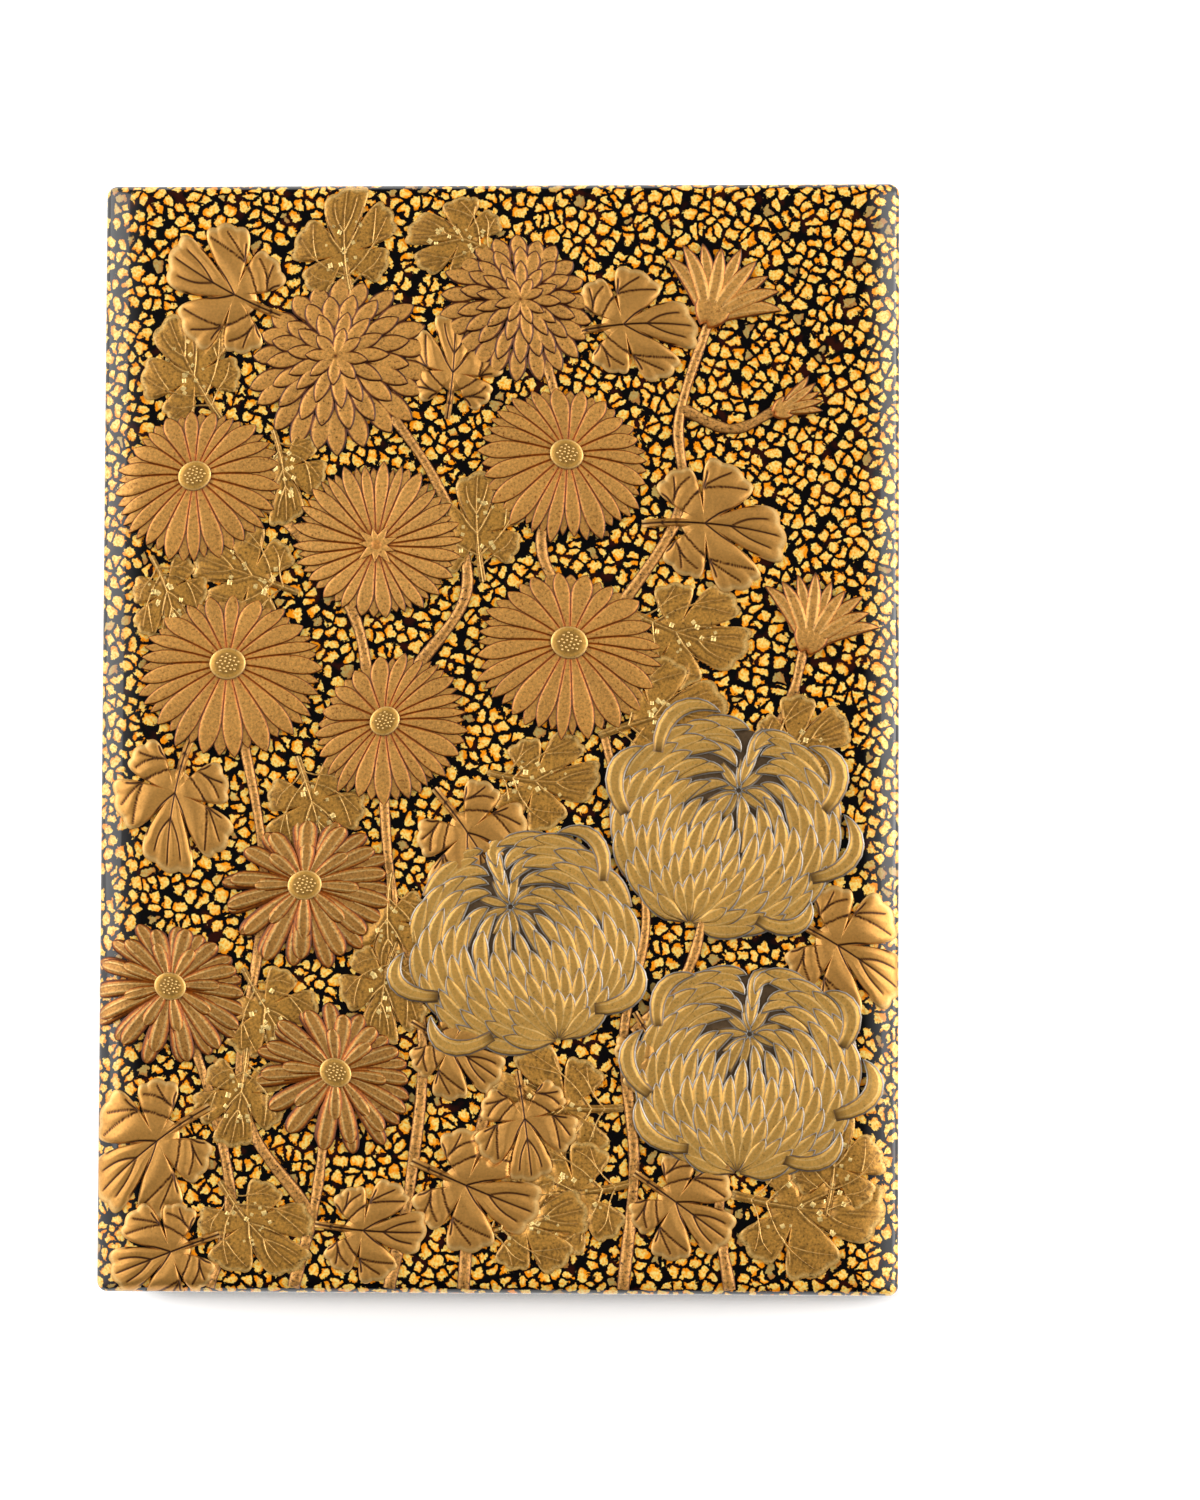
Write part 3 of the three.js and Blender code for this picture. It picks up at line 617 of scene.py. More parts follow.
def raised_gold_finish(name, body, pale, groove, deep, metallic=0.5, roughness=0.36, grit=1.0):
    """Gold powder on built-up lacquer, polished by hand: satin and faintly grainy, with brown lacquer in
    the pits between grains. The crest share paints it paler: a painted highlight on the tops and ribs
    of petals, on the crests and rims of leaves and on the left side of stems, and the paler gold of cut
    squares, seeds and raised veins. The groove share paints it towards the groove and then the deep
    colour: the lacquer that shows in the grooves, with painted shade. The powder's grain of about
    0.05 mm is drawn five times as coarse so that it shows."""
    finish, tree, surface = new_finish(name)
    place = add_node(tree, "ShaderNodeTexCoord").outputs["Object"]
    shade = add_node(tree, "ShaderNodeAttribute", attribute_name="relief_shade")
    part = add_node(tree, "ShaderNodeSeparateColor", {0: shade.outputs["Color"]})
    cloud = add_node(tree, "ShaderNodeTexNoise",
                     {"Vector": place, "Scale": 1 / (GOLD_CLOUD * MM), "Detail": 4.0}).outputs[0]
    grain = add_node(tree, "ShaderNodeTexNoise",
                     {"Vector": place, "Scale": 1 / (GRAIN_PITCH * MM), "Detail": 2.0,
                      "Roughness": 0.7}).outputs[0]
    tone = add_node(tree, "ShaderNodeMath", {0: cloud, 1: 0.5, 2: part.outputs[2]},
                    operation="MULTIPLY_ADD").outputs[0]
    speck = add_node(tree, "ShaderNodeMath", {0: grain, 1: 2.6 * grit, 2: tone},
                     operation="MULTIPLY_ADD").outputs[0]
    middle = 0.75 + 1.3 * grit
    light = add_node(tree, "ShaderNodeMapRange",
                     {0: speck, 1: middle - 0.6, 2: middle + 0.6, 3: 0.6, 4: 1.4}).outputs[0]
    pit = add_node(tree, "ShaderNodeMapRange", {0: grain, 1: 0.38, 2: 0.28, 4: 0.5 * grit}).outputs[0]
    low = add_node(tree, "ShaderNodeMath", {0: part.outputs[0], 1: pit}, operation="MAXIMUM").outputs[0]
    # Painted highlight from the crest share, painted shade with the lacquer's colour from the groove share
    crest = add_node(tree, "ShaderNodeMix", {0: part.outputs[1], 6: linear(body), 7: linear(pale)},
                     data_type="RGBA").outputs[2]
    shallow = add_node(tree, "ShaderNodeMapRange", {0: low, 1: 0.05, 2: 0.5}).outputs[0]
    lowest = add_node(tree, "ShaderNodeMapRange", {0: low, 1: 0.45, 2: 0.9}).outputs[0]
    colour = add_node(tree, "ShaderNodeMix", {0: shallow, 6: crest, 7: linear(groove)},
                      data_type="RGBA").outputs[2]
    colour = add_node(tree, "ShaderNodeMix", {0: lowest, 6: colour, 7: linear(deep)},
                      data_type="RGBA").outputs[2]
    colour = add_node(tree, "ShaderNodeVectorMath", {0: colour, 1: light}, operation="MULTIPLY").outputs[0]
    bump = add_node(tree, "ShaderNodeBump",
                    {"Height": grain, "Distance": GRAIN_DEPTH * grit * MM, "Strength": 0.6})
    tree.links.new(colour, surface.inputs["Base Color"])
    tree.links.new(bump.outputs[0], surface.inputs["Normal"])
    surface.inputs["Metallic"].default_value = metallic
    surface.inputs["Roughness"].default_value = roughness
    return finish


LEAF_EDGE = 0.16
POLISHED_CREST = 0.5
ENGRAVED_CREST = 0.24
CUT_VEIN_WIDTH = 0.085
CUT_VEIN_DEPTH = 0.07
PILLOW_WIDTH = 0.65
RAISED_VEIN_HALF_WIDTH = 0.085
RAISED_VEIN_HEIGHT = 0.09
SQUARES_PER_LEAF = 16
SQUARE_HALF_SIDES = (0.11, 0.24)
LEAF_MIDDLE = 0.44
LEAVES = [
    # across, along, length, direction in degrees, polished
    (-20, 39.5, 13, 160, True), (-14, 41, 11, 105, False), (0, 45.5, 9, 150, False),
    (6.5, 38, 12, 15, True), (-26.5, 30, 11, 125, False), (-5, 30, 10, 80, True),
    (13.5, 20, 13.5, 5, True), (12, 12, 12, -30, False), (-19, 13.5, 10.5, 160, False),
    (-1.5, 14.5, 10.5, 100, False), (-29, 0, 13, -110, True), (-19, -2, 10.5, -70, False),
    (-6, -5, 12, -50, True), (9.5, 0, 12.5, 20, False), (-10, -13, 10, -100, False),
    (27, -17, 13, -25, True), (13, -26, 10, -60, True), (12, -35, 12.5, -175, False),
    (-8, -27, 10, -30, True), (-27, -35, 13.5, -150, True), (-24, -22, 10, -60, False),
    (-8, -40, 13, -25, True), (13, -42, 12.5, -165, False), (13, -41, 11, -35, True),
    (22, -43, 14.5, -15, False), (-26, -42, 11, -60, False), (-17, -46, 10.5, -10, True),
    (-2, -47, 11, 15, False), (-26, -47, 11, -160, True), (24, -3, 10, 25, False),
    (-23.5, -29.5, 9.5, -95, False), (-9.5, -19.5, 9.5, -110, False), (2, -31.5, 10.5, -80, True),
    (31, -45, 10.5, 75, False), (-33, 17, 8.5, -60, False), (-21.5, 29, 9, -70, False),
    (-1, -3.5, 10.5, -15, False),
]
LOBES = np.array([
    # direction and half width in degrees, then reach in shares of the leaf's length
    (0, 31, 0.56), (61, 30, 0.5), (-61, 30, 0.5), (122, 31, 0.42), (-122, 31, 0.42),
])
SINUS_DEPTH = 0.68
LEAST_REACH = 0.17
STALK_HALF_WIDTH = 0.03
VEINS = [
    # from and to, in shares of the leaf's length from its middle, and how far the vein bows out
    (-0.44, 0, 0.5, 0, 0), (-0.3, 0, -0.19, 0.32, -0.04), (-0.2, 0, 0.21, 0.38, 0.05),
    (0.0, 0, 0.35, 0.17, 0.03), (0.18, 0, 0.44, 0.1, 0.02), (-0.05, 0.2, 0.05, 0.37, -0.02),
    (-0.01, 0.245, 0.31, 0.28, 0.01), (-0.22, 0.125, -0.28, 0.2, -0.01), (-0.2, 0.163, -0.08, 0.32, 0.02),
]
VEINS = np.array(VEINS + [(a, -b, c, -d, -bow) for a, b, c, d, bow in VEINS[1:]])
vein_share = np.linspace(0, 1, 7)[:, None]
vein_along = VEINS[:, None, 2:4] - VEINS[:, None, :2]
vein_side = np.stack([-vein_along[..., 1], vein_along[..., 0]], -1)
vein_side = vein_side / np.linalg.norm(vein_side, axis=-1, keepdims=True)
vein_lines = VEINS[:, None, :2] + vein_along * vein_share
vein_lines = vein_lines + vein_side * VEINS[:, 4][:, None, None] * np.sin(math.pi * vein_share)


def leaf_reach(angle):
    """How far a leaf reaches from its middle, in shares of its length. Within each lobe the reach falls
    from the lobe's own with the eighth power of the share of its half width, down to the sinus. Each
    20 degrees of the outline is one rounded tooth. Towards the base a stalk of even width stands out."""
    turn = (np.ravel(angle) + math.pi) % (2 * math.pi) - math.pi
    share = np.abs(np.degrees(turn)[None] - LOBES[:, :1]) / LOBES[:, 1:2]
    lobe = LOBES[:, 2:] * (1 - 0.06 * share ** 2 - SINUS_DEPTH * share ** 8)
    teeth = 1 - 0.05 * (1 - np.abs(np.cos(9 * turn)))
    blade = np.maximum(lobe.max(0) * teeth, LEAST_REACH)
    stalk = np.minimum(LEAF_MIDDLE, STALK_HALF_WIDTH / np.maximum(np.abs(np.sin(turn)), 0.01))
    return np.where(np.cos(turn) < 0, np.maximum(blade, stalk), blade).reshape(np.shape(angle))


def vein_distance(place):
    """Distance from places on a leaf to the nearest vein, in shares of the leaf's length."""
    start = vein_lines[:, :-1].reshape(-1, 2)
    along = vein_lines[:, 1:].reshape(-1, 2) - start
    offset = place[..., None, :] - start
    share = np.clip((offset * along).sum(-1) / (along ** 2).sum(-1), 0, 1)
    return np.linalg.norm(offset - share[..., None] * along, axis=-1).min(-1)


def leaf_rise(place, crest):
    """Height of a leaf's face: its edge, plus a crest that falls off towards the outline."""
    reach = leaf_reach(np.arctan2(place[..., 1], place[..., 0]))
    share = np.linalg.norm(place, axis=-1) / reach
    return LEAF_EDGE + crest * (1 - np.clip(share, 0, 1) ** 4)


def leaf_bend(leaf):
    """How much a leaf's midrib bends, which differs from leaf to leaf."""
    return 0.22 * math.sin(leaf[0] * 1.7 + leaf[1])


def on_lid(place, leaf):
    """Places on a leaf, in shares, turned to where the leaf lies, with its midrib slightly bent."""
    x, y, length, direction = leaf[:4]
    turn = math.radians(direction)
    p = (place[..., 0] + LEAF_MIDDLE) * length
    q = (place[..., 1] + leaf_bend(leaf) * (place[..., 0] + LEAF_MIDDLE) ** 2) * length
    across = x + p * math.cos(turn) - q * math.sin(turn)
    along = y + p * math.sin(turn) + q * math.cos(turn)
    return np.stack([across, along], -1)


def sink_under_leaves(plan, height, leaves):
    """Lowers what passes under leaves: full height a little outside their outlines, sunk inside them."""
    for leaf in leaves:
        x, y, length, direction = leaf[:4]
        turn = math.radians(direction)
        p = ((plan[..., 0] - x) * math.cos(turn) + (plan[..., 1] - y) * math.sin(turn)) / length
        q = ((plan[..., 1] - y) * math.cos(turn) - (plan[..., 0] - x) * math.sin(turn)) / length
        q = q - leaf_bend(leaf) * p ** 2
        p = p - LEAF_MIDDLE
        share = np.hypot(p, q) / leaf_reach(np.arctan2(q, p))
        share = eased((share - LEAF_COVER_FROM) / LEAF_COVER_EASE)
        height = UNDER_LEAF_HEIGHT + (height - UNDER_LEAF_HEIGHT) * share
    return height


def leaves_over(leaf):
    """The leaves that lie over a leaf: of the same kind those after it, and polished ones over others."""
    place = LEAVES.index(leaf)
    near = [other for other in LEAVES if other is not leaf and math.dist(other[:2], leaf[:2]) < 22]
    return [other for other in near if (other[4], LEAVES.index(other)) > (leaf[4], place)]


def leaf_shell(leaf):
    """One leaf as rings that close in from its outline to its middle, with its shade."""
    length, polished = leaf[2], leaf[4]
    around, levels = (300, 34) if polished else (180, 18)
    angle = np.linspace(0, 2 * math.pi, around, endpoint=False)
    share = np.concatenate([[1, 1], 1 - np.linspace(0, 1, levels)[1:-1] ** 1.1, [0.02]])
    place = (share[:, None] * leaf_reach(angle))[..., None] * np.stack([np.cos(angle), np.sin(angle)], -1)
    away = vein_distance(place) * length
    # A pale band just inside the outline is a painted highlight on the leaf's rim
    rim = np.exp(-((share[:, None] - 0.96) / 0.03) ** 2)
    if polished:
        line = np.exp(-(away / CUT_VEIN_WIDTH) ** 2)
        pillow = 0.7 + 0.3 * (1 - np.exp(-(away / PILLOW_WIDTH) ** 2))
        rise = leaf_rise(place, POLISHED_CREST) - LEAF_EDGE
        height = LEAF_EDGE + rise * pillow - CUT_VEIN_DEPTH * line
        # The cut veins are painted dark, for the lacquer in the cut and as painted shade, and the pillows'
        # tops are painted paler as a highlight
        shade = shade_of(line, 0.1 * pillow * (1 - line) + 0.5 * rim, 0.5)
    else:
        height = leaf_rise(place, ENGRAVED_CREST)
        # A darker band beside each raised vein is painted shade
        shade = shade_of(0.45 * np.exp(-((away - 0.2) / 0.1) ** 2), 0.5 * rim, 0.5)
    plan = on_lid(place, leaf)
    height = sink_under_blooms(plan, sink_under_leaves(plan, height, leaves_over(leaf)))
    height[0] = -RELIEF_SINK
    return np.concatenate([plan, height[..., None]], -1)[None], shade[None]


def raised_veins(leaf):
    """The veins of a low leaf: thin half-round strips that lie on its face and taper to their tips."""
    across = np.array([1, 0.6, 0, -0.6, -1])
    ridge = RAISED_VEIN_HEIGHT * (1 - across ** 2)
    height = leaf_rise(vein_lines, ENGRAVED_CREST)[..., None] + ridge - 0.01
    width = RAISED_VEIN_HALF_WIDTH * (1 - 0.5 * vein_share[:, 0]) * np.ones((len(VEINS), 1))
    rings = strips(on_lid(vein_lines, leaf), width, across, height)
    rings[..., 2] = sink_under_leaves(rings[..., :2], rings[..., 2], leaves_over(leaf))
    rings[..., 2] = sink_under_blooms(rings[..., :2], rings[..., 2])
    return sunk(rings), shade_of(0.0, 0.45, 0.5)


def cut_gold_squares(leaf, draw):
    """Squares of cut gold strewn along the middle of a low leaf, each a flat strip of two steps."""
    count = SQUARES_PER_LEAF
    place = np.stack([draw.uniform(-0.22, 0.3, count), draw.uniform(-0.16, 0.16, count)], -1)
    side = draw.uniform(*SQUARE_HALF_SIDES, count)
    turn = draw.uniform(0, math.pi, count)
    middle = on_lid(place, leaf)
    half = np.stack([np.cos(turn), np.sin(turn)], -1) * side[:, None]
    path = np.stack([middle - half, middle + half], 1)
    across = np.array([1.0, 0.9, -0.9, -1.0])
    height = leaf_rise(place, ENGRAVED_CREST)[:, None, None] + np.array([0.02, 0.05, 0.05, 0.02])
    rings = strips(path, side[:, None], across, np.broadcast_to(height, (count, 2, 4)))
    rings[..., 2] = sink_under_leaves(rings[..., :2], rings[..., 2], leaves_over(leaf))
    rings[..., 2] = sink_under_blooms(rings[..., :2], rings[..., 2])
    return sunk(rings), shade_of(0.0, 1.0, 0.7)


polished_gold = raised_gold_finish("raised_gold_polished", "#C68A3C", "#EEC880", "#7A4A16", "#2A1404",
                                   metallic=0.6, roughness=0.37, grit=0.35)
green_gold = raised_gold_finish("raised_gold_green", "#BE8838", "#E8C67C", "#7A5620", "#32200A",
                                grit=1.1)
polished_leaves = [leaf_shell(leaf) for leaf in LEAVES if leaf[4]]
relief_piece("ornament_polished_leaves_upper", polished_leaves[:8], polished_gold)
relief_piece("ornament_polished_leaves_lower", polished_leaves[8:], polished_gold)
relief_piece("ornament_engraved_leaves", [leaf_shell(leaf) for leaf in LEAVES if not leaf[4]], green_gold)
draw = np.random.default_rng(7)
trim_parts = [raised_veins(leaf) for leaf in LEAVES if not leaf[4]]
trim_parts += [cut_gold_squares(leaf, draw) for leaf in LEAVES if not leaf[4]]
relief_piece("ornament_leaf_veins", trim_parts, green_gold)

# Raised ornament: stems
# Low half-round ridges, built up with a brush and dusted with coarser gold powder than the leaves.
# They pass under the leaves and the blooms.

STEM_HALF_WIDTH = 0.55
STEM_HEIGHT = 0.42
STEM_STEPS = 14
STEMS = [
    [(-27, -52), (-25, -44), (-27, -34), (-30, -26)], [(-19, -52), (-17, -44), (-16, -36)],
    [(-10, -52), (-8, -42), (-7, -28), (-10, -14), (-11, -2)],
    [(-17.5, -45), (-24, -34), (-22, -14), (-25, 4)], [(-3, -52), (-2, -40), (1, -28)],
    [(12, -52), (13, -40), (12, -28), (14, -16), (10, 0)],
    [(22, -52), (21, -44), (23, -36)], [(-12, 4), (-14, 12), (-20, 20), (-27, 24)],
    [(-8, 6), (-3, 14), (-6, 24), (-13, 34)], [(7, 12), (4, 18), (6, 28), (3, 40)],
    [(10, 10), (17, 21), (17, 30), (20, 40)], [(17, 31), (22, 29), (26.5, 31)],
    [(13, -28), (18, -22), (20, -14)], [(22, -4), (27, 2), (29, 9)],
]


def smooth_path(points, steps):
    """A Catmull-Rom curve through points, with the same number of steps between each pair."""
    points = np.array(points, float)
    points = np.vstack([2 * points[0] - points[1], points, 2 * points[-1] - points[-2]])
    t = np.linspace(0, 1, steps, endpoint=False)[:, None]
    spans = []
    for a, b, c, d in zip(points, points[1:], points[2:], points[3:]):
        spans.append(b + 0.5 * t * (c - a + t * (2 * a - 5 * b + 4 * c - d + t * (3 * b - a - 3 * c + d))))
    return np.vstack(spans + [points[-2:-1]])


stem_gold = raised_gold_finish("raised_gold_stems", "#C48A44", "#DDAC60", "#6E3E10", "#261206",
                               grit=1.9)
stem_across = np.sin(np.linspace(math.pi / 2, -math.pi / 2, 9))
stem_parts = []
for points in STEMS:
    path = smooth_path(points, STEM_STEPS)[None]
    share = np.linspace(0, 1, path.shape[1])
    width = STEM_HALF_WIDTH * (1.05 - 0.25 * share + 0.08 * np.sin(share * 23))
    height = STEM_HEIGHT * (0.3 + 0.7 * np.sqrt(1 - stem_across ** 2))
    rings = strips(path, width[None], stem_across, height)
    rings[..., 2] = sink_under_leaves(rings[..., :2], rings[..., 2], LEAVES)
    rings[..., 2] = sink_under_blooms(rings[..., :2], rings[..., 2])
    # Painted shade along both edges of the stem, and a painted highlight on its left side, which faces the
    # stronger light
    groove = 0.8 * np.abs(stem_across) ** 6 * np.ones(rings.shape[1])[:, None]
    crest = 0.35 * np.clip(stem_across, 0, 1) ** 2
    stem_parts.append((sunk(rings), close_under(shade_of(groove[None], crest, 0.5))))
relief_piece("ornament_stems", stem_parts, stem_gold)

# Raised ornament: blooms
# Chrysanthemums of five kinds, each petal modelled in the lacquer: flat ones with long petals,
# crowned ones with narrow ribbed petals, one seen from behind, doubles, and large ones whose petals
# curve in over the face.

PETAL_TOP_HIGHLIGHT = 0.1
DOME_AROUND = 30
DOME_LEVELS = 10
WIDTHS_VARY = 0.28


def petal_steps(steps):
    """Shares of a petal's length from its base to its tip, closer together towards the tip."""
    return 1 - (1 - np.linspace(0, 1, steps)) ** 1.5


def petal_shells(path, width, lift, crown, ribs=0.0, flat=3, tone=0.5, line=0.2):
    """Petals laid along paths, with a half width and a lift for each step of each path. Across a
    petal, where v goes from 1 to -1, the face is 1 less v to the power flat, with two ribs along it
    where ribs is given. The groove round it is painted darker over a width of line from its edge,
    darkest at the tip, and so is its base: the lacquer's colour with painted shade. Its top and ribs
    are painted paler as a highlight."""
    u = petal_steps(path.shape[1])
    v = np.sin(np.linspace(math.pi / 2, -math.pi / 2, 21 if ribs else 17))
    full = np.sqrt(np.clip(width / width.max(), 0, 1))[..., None]
    ridge = np.exp(-((np.abs(v) - 0.45) / 0.08) ** 2)
    face = 1 - np.abs(v) ** flat
    height = lift[..., None] * (0.88 + 0.12 * face) + (crown * face + ribs * ridge) * full
    rings = sunk(strips(path, width, v, height))
    # Painted shade in the groove round the petal, darkest at the tip, and at its base, over the lacquer's
    # own colour
    edge = np.clip(1.3 - 1.3 * (1 - np.abs(v)) * width[..., None] / line, 0, 0.5 + 0.5 * u[:, None])
    root = 0.5 * np.clip(1 - u / 0.12, 0, 1)[:, None]
    groove = np.maximum(edge, root)
    # Painted highlight on the petal's top and on its ribs
    crest = PETAL_TOP_HIGHLIGHT * face * np.sin(math.pi * np.clip(u * 0.9 + 0.1, 0, 1))[:, None]
    crest = np.maximum(crest, 0.7 * ridge if ribs else 0) * np.ones_like(groove)
    tones = np.broadcast_to(tone, (len(path),))[:, None, None]
    return rings, close_under(shade_of(groove, crest, tones))


def petals(centre, angles, inner, outer, half_width, lift, crown, curl=0.0, steps=14, **look):
    """A ring of petals about a centre. Along a petal the share u goes from 0 at its base to 1 at its
    tip: the radius goes from inner to outer, and the direction turns by curl times u to the power
    1.4. Half width is a function of u and the radius, and lift of u."""
    u = petal_steps(steps)
    radius = inner + (np.broadcast_to(outer, angles.shape)[:, None] - inner) * u
    turn = angles[:, None] + np.broadcast_to(curl, angles.shape)[:, None] * u ** 1.4
    path = np.array(centre) + radius[..., None] * np.stack([np.cos(turn), np.sin(turn)], -1)
    width = half_width(u, radius) * np.ones_like(radius)
    return petal_shells(path, width, lift(u) * np.ones_like(radius), crown, **look)


def facing(parts, bloom):
    """Turns a bloom drawn from straight above to its side: narrower along the way it faces, with its
    eye moved that way. A point's move is the lean times 1 less the square of its share of the radius."""
    kind, x, y, size, _, way = bloom
    ahead = np.array([math.cos(math.radians(way)), math.sin(math.radians(way))])
    for rings, _ in parts:
        offset = rings[..., :2] - (x, y)
        share = np.linalg.norm(offset, axis=-1) / size
        along = (offset @ ahead) * (SQUASH[kind] - 1) + LEAN[kind] * size * np.clip(1 - share ** 2, 0, 1)
        rings[..., :2] += along[..., None] * ahead
    return parts


def filling(half_angle, fill, widest=0.55):
    """Half width of petals that fill a circle: a share of each petal's half angle, narrowing to a blunt
    point beyond the widest place."""
    spread = fill * np.reshape(half_angle, (-1, 1))
    return lambda u, radius: np.maximum(
        spread * radius * (1 - np.clip((u - widest) / (1 - widest), 0, 1) ** 1.9) ** 0.8, 0.02)


def almond(widest, base=0.12):
    """Half width of almond-shaped petals: narrow at the base, widest at the middle, blunt at the tip."""
    return lambda u, radius: np.maximum(
        widest * np.sin(math.pi * (base + (1 - base) * u ** 1.3)) ** 0.7, 0.02)


def spike(widest):
    """Half width of pointed petals, widest at the base."""
    return lambda u, radius: np.maximum(widest * (1 - u) ** 0.8, 0.02)


def club(widest):
    """Half width of club-shaped petals: widening from a narrow base to three quarters of the length,
    with a round tip."""
    return lambda u, radius: np.maximum(
        widest * (0.4 + 0.6 * np.sin(math.pi / 2 * np.clip(u / 0.75, 0, 1)))
        * np.sqrt(1 - np.clip((u - 0.75) / 0.25, 0, 1) ** 2.4), 0.02)


def dome(centre, radius, height, edge=0.35):
    """A button: rings that close in over a flattened half sphere, which starts at a share of the
    height at its edge."""
    turn = np.linspace(0, 2 * math.pi, DOME_AROUND, endpoint=False)
    rise = np.linspace(0, math.pi / 2, DOME_LEVELS)
    share = np.concatenate([[1], np.cos(rise)])
    share[-1] = 0.05
    up = np.concatenate([[-RELIEF_SINK], height * (edge + (1 - edge) * np.sin(rise))])
    plan = radius * share[:, None, None] * np.stack([np.cos(turn), np.sin(turn)], -1)
    up = np.broadcast_to(up[:, None, None], (*plan.shape[:2], 1))
    rings = np.concatenate([plan + np.array(centre), up], -1)
    # The foot is painted dark as shade where the button meets what is under it; the middle is darker and a
    # ring near the edge paler
    groove = np.where(share > 0.99, 0.8, np.where(share < 0.7, 0.25, 0.05))[:, None]
    crest = 0.7 * np.exp(-((share - 0.95) / 0.04) ** 2)[:, None]
    return rings[None], shade_of(groove[None], crest[None], 0.5) * np.ones((1, 1, DOME_AROUND, 1))


def seeds(centre, radius, height, edge, count):
    """Small beads over a button, set on a spiral of equal angles of 137.5 degrees."""
    number = np.arange(count)
    away = 0.62 * radius * np.sqrt((number + 0.5) / count)
    turn = number * math.radians(137.5)
    middle = np.array(centre) + away[:, None] * np.stack([np.cos(turn), np.sin(turn)], -1)
    base = height * (edge + (1 - edge) * np.sqrt(1 - (away / radius) ** 2))
    size = 0.36 * radius / math.sqrt(count)
    round_angle = np.linspace(0, 2 * math.pi, 7, endpoint=False)
    circle = np.stack([np.cos(round_angle), np.sin(round_angle)], -1)
    share, rise = np.array([1, 0.85, 0.3]), np.array([-0.08, 0.04, 0.08])
    plan = middle[:, None, None] + size * share[None, :, None, None] * circle[None, None]
    up = np.broadcast_to((base[:, None] + rise)[..., None, None], (*plan.shape[:3], 1))
    return np.concatenate([plan, up], -1), shade_of(0.0, 1.0, 0.6)


def evenly(count, turn, draw, wander=0.12):
    """Directions evenly round a bloom, each moved a little at random."""
    place = np.arange(count) + draw.uniform(-wander, wander, count)
    return math.radians(turn) + place * 2 * math.pi / count


def rising(base, swell):
    """Lift of a petal: its base height and a swell that is greatest halfway along it."""
    return lambda u: base + swell * np.sin(math.pi * (0.1 + 0.82 * u))


def long_petals(centre, size, turn, count, inner, lower_reach, crown, draw):
    """Long flat petals of unequal width that fill a circle, and the tips of a lower layer between
    them."""
    share = draw.uniform(1 - WIDTHS_VARY, 1 + WIDTHS_VARY, count)
    share = share / share.sum() * 2 * math.pi
    angles, half = math.radians(turn) + np.cumsum(share) - share / 2, share / 2
    return [
        petals(centre, angles + half, size * inner, size * draw.uniform(*lower_reach, count),
               filling(half, 0.7, 0.7), rising(0.2, 0.14), 0.04, flat=6, line=0.14,
               tone=draw.uniform(0.4, 0.56, count)),
        petals(centre, angles, size * inner, size * draw.uniform(0.92, 1, count),
               filling(half, 1.0), rising(0.3, 0.22), crown, flat=6, line=0.15,
               tone=draw.uniform(0.42, 0.6, count)),
    ]


def flat_bloom(x, y, size, turn, way, draw):
    """A bloom that shows its face: long petals round a button."""
    return long_petals((x, y), size, turn, 21, 0.12, (0.9, 0.97), 0.06, draw)


def crowned_bloom(x, y, size, turn, way, draw):
    """Narrow ribbed petals in two layers and a few short ones over them, with orange lacquer and painted
    shade between them. A layer is its reach, its count, a petal's half width, its base height and its line."""
    parts = []
    layers = ((1.0, 15, 0.106, 0.14, 0.4), (0.95, 14, 0.112, 0.3, 0.28), (0.64, 8, 0.09, 0.46, 0.24))
    for level, (reach, count, wide, base, line) in enumerate(layers):
        parts.append(petals(
            (x, y), evenly(count, turn + 180 * level / count, draw), size * 0.12,
            size * reach * draw.uniform(0.88, 1, count), club(wide * size), rising(base, 0.16), 0.12,
            ribs=0.05, tone=draw.uniform(0.4, 0.6, count), line=line))
    return parts


def back_bloom(x, y, size, turn, way, draw):
    """A bloom from behind: long petals that run in to a low calyx, a star of pointed sepals."""
    sepals = 9
    return long_petals((x, y), size, turn, 25, 0.14, (0.88, 0.96), 0.07, draw) + [
        petals((x, y), evenly(sepals, turn, draw), 0.02, size * 0.27 * draw.uniform(0.75, 1.1, sepals),
               spike(0.075 * size), rising(0.5, 0.03), 0.02, steps=9, line=0.07),
        dome((x, y), 0.1 * size, 0.62),
    ]


def double_bloom(x, y, size, turn, way, draw):
    """Almond petals in four rings, each ring shorter and higher than the last, like scales. A ring is
    its reach, its count and a petal's length."""
    parts = []
    rings = ((1.0, 22, 0.45), (0.78, 18, 0.45), (0.56, 13, 0.45), (0.34, 8, 0.34))
    for level, (reach, count, long) in enumerate(rings):
        wide = math.pi * (reach - 0.42 * long) * size / count
        parts.append(petals(
            (x, y), evenly(count, turn + 8.5 * level, draw, 0.16), size * max(reach - long, 0.005),
            size * reach * draw.uniform(0.94, 1.02, count), almond(wide), rising(0.14 + 0.18 * level, 0.04),
            0.11, tone=draw.uniform(0.38, 0.6, count), steps=13, line=0.24))
    return parts


INCURVED_MEETING = 0.36
INCURVED_LENGTH = 5.4
INCURVED_HALF_WIDTH = 0.86
TIPS_APART_ALONG = 2.8
TIPS_APART_ACROSS = 1.25
MEETING_PETALS = 9


def lines_of_flow(potential, stream):
    """Places in a disc of radius 1, as complex numbers, on the lines of a flow from a spring on its
    rim, at -1, to the drain where the petals meet. The rim is one of the lines. At a place z, the
    square of z + 1 is e^(potential + i stream) times z less the drain, times z less 1 over it."""
    swirl = np.exp(potential + 1j * stream)
    half = (1 + 0.5 * swirl * (INCURVED_MEETING + 1 / INCURVED_MEETING)) / (1 - swirl)
    root = np.sqrt(half ** 2 - 1)
    return -1 / (half + np.where(np.abs(half + root) > np.abs(half - root), root, -root))


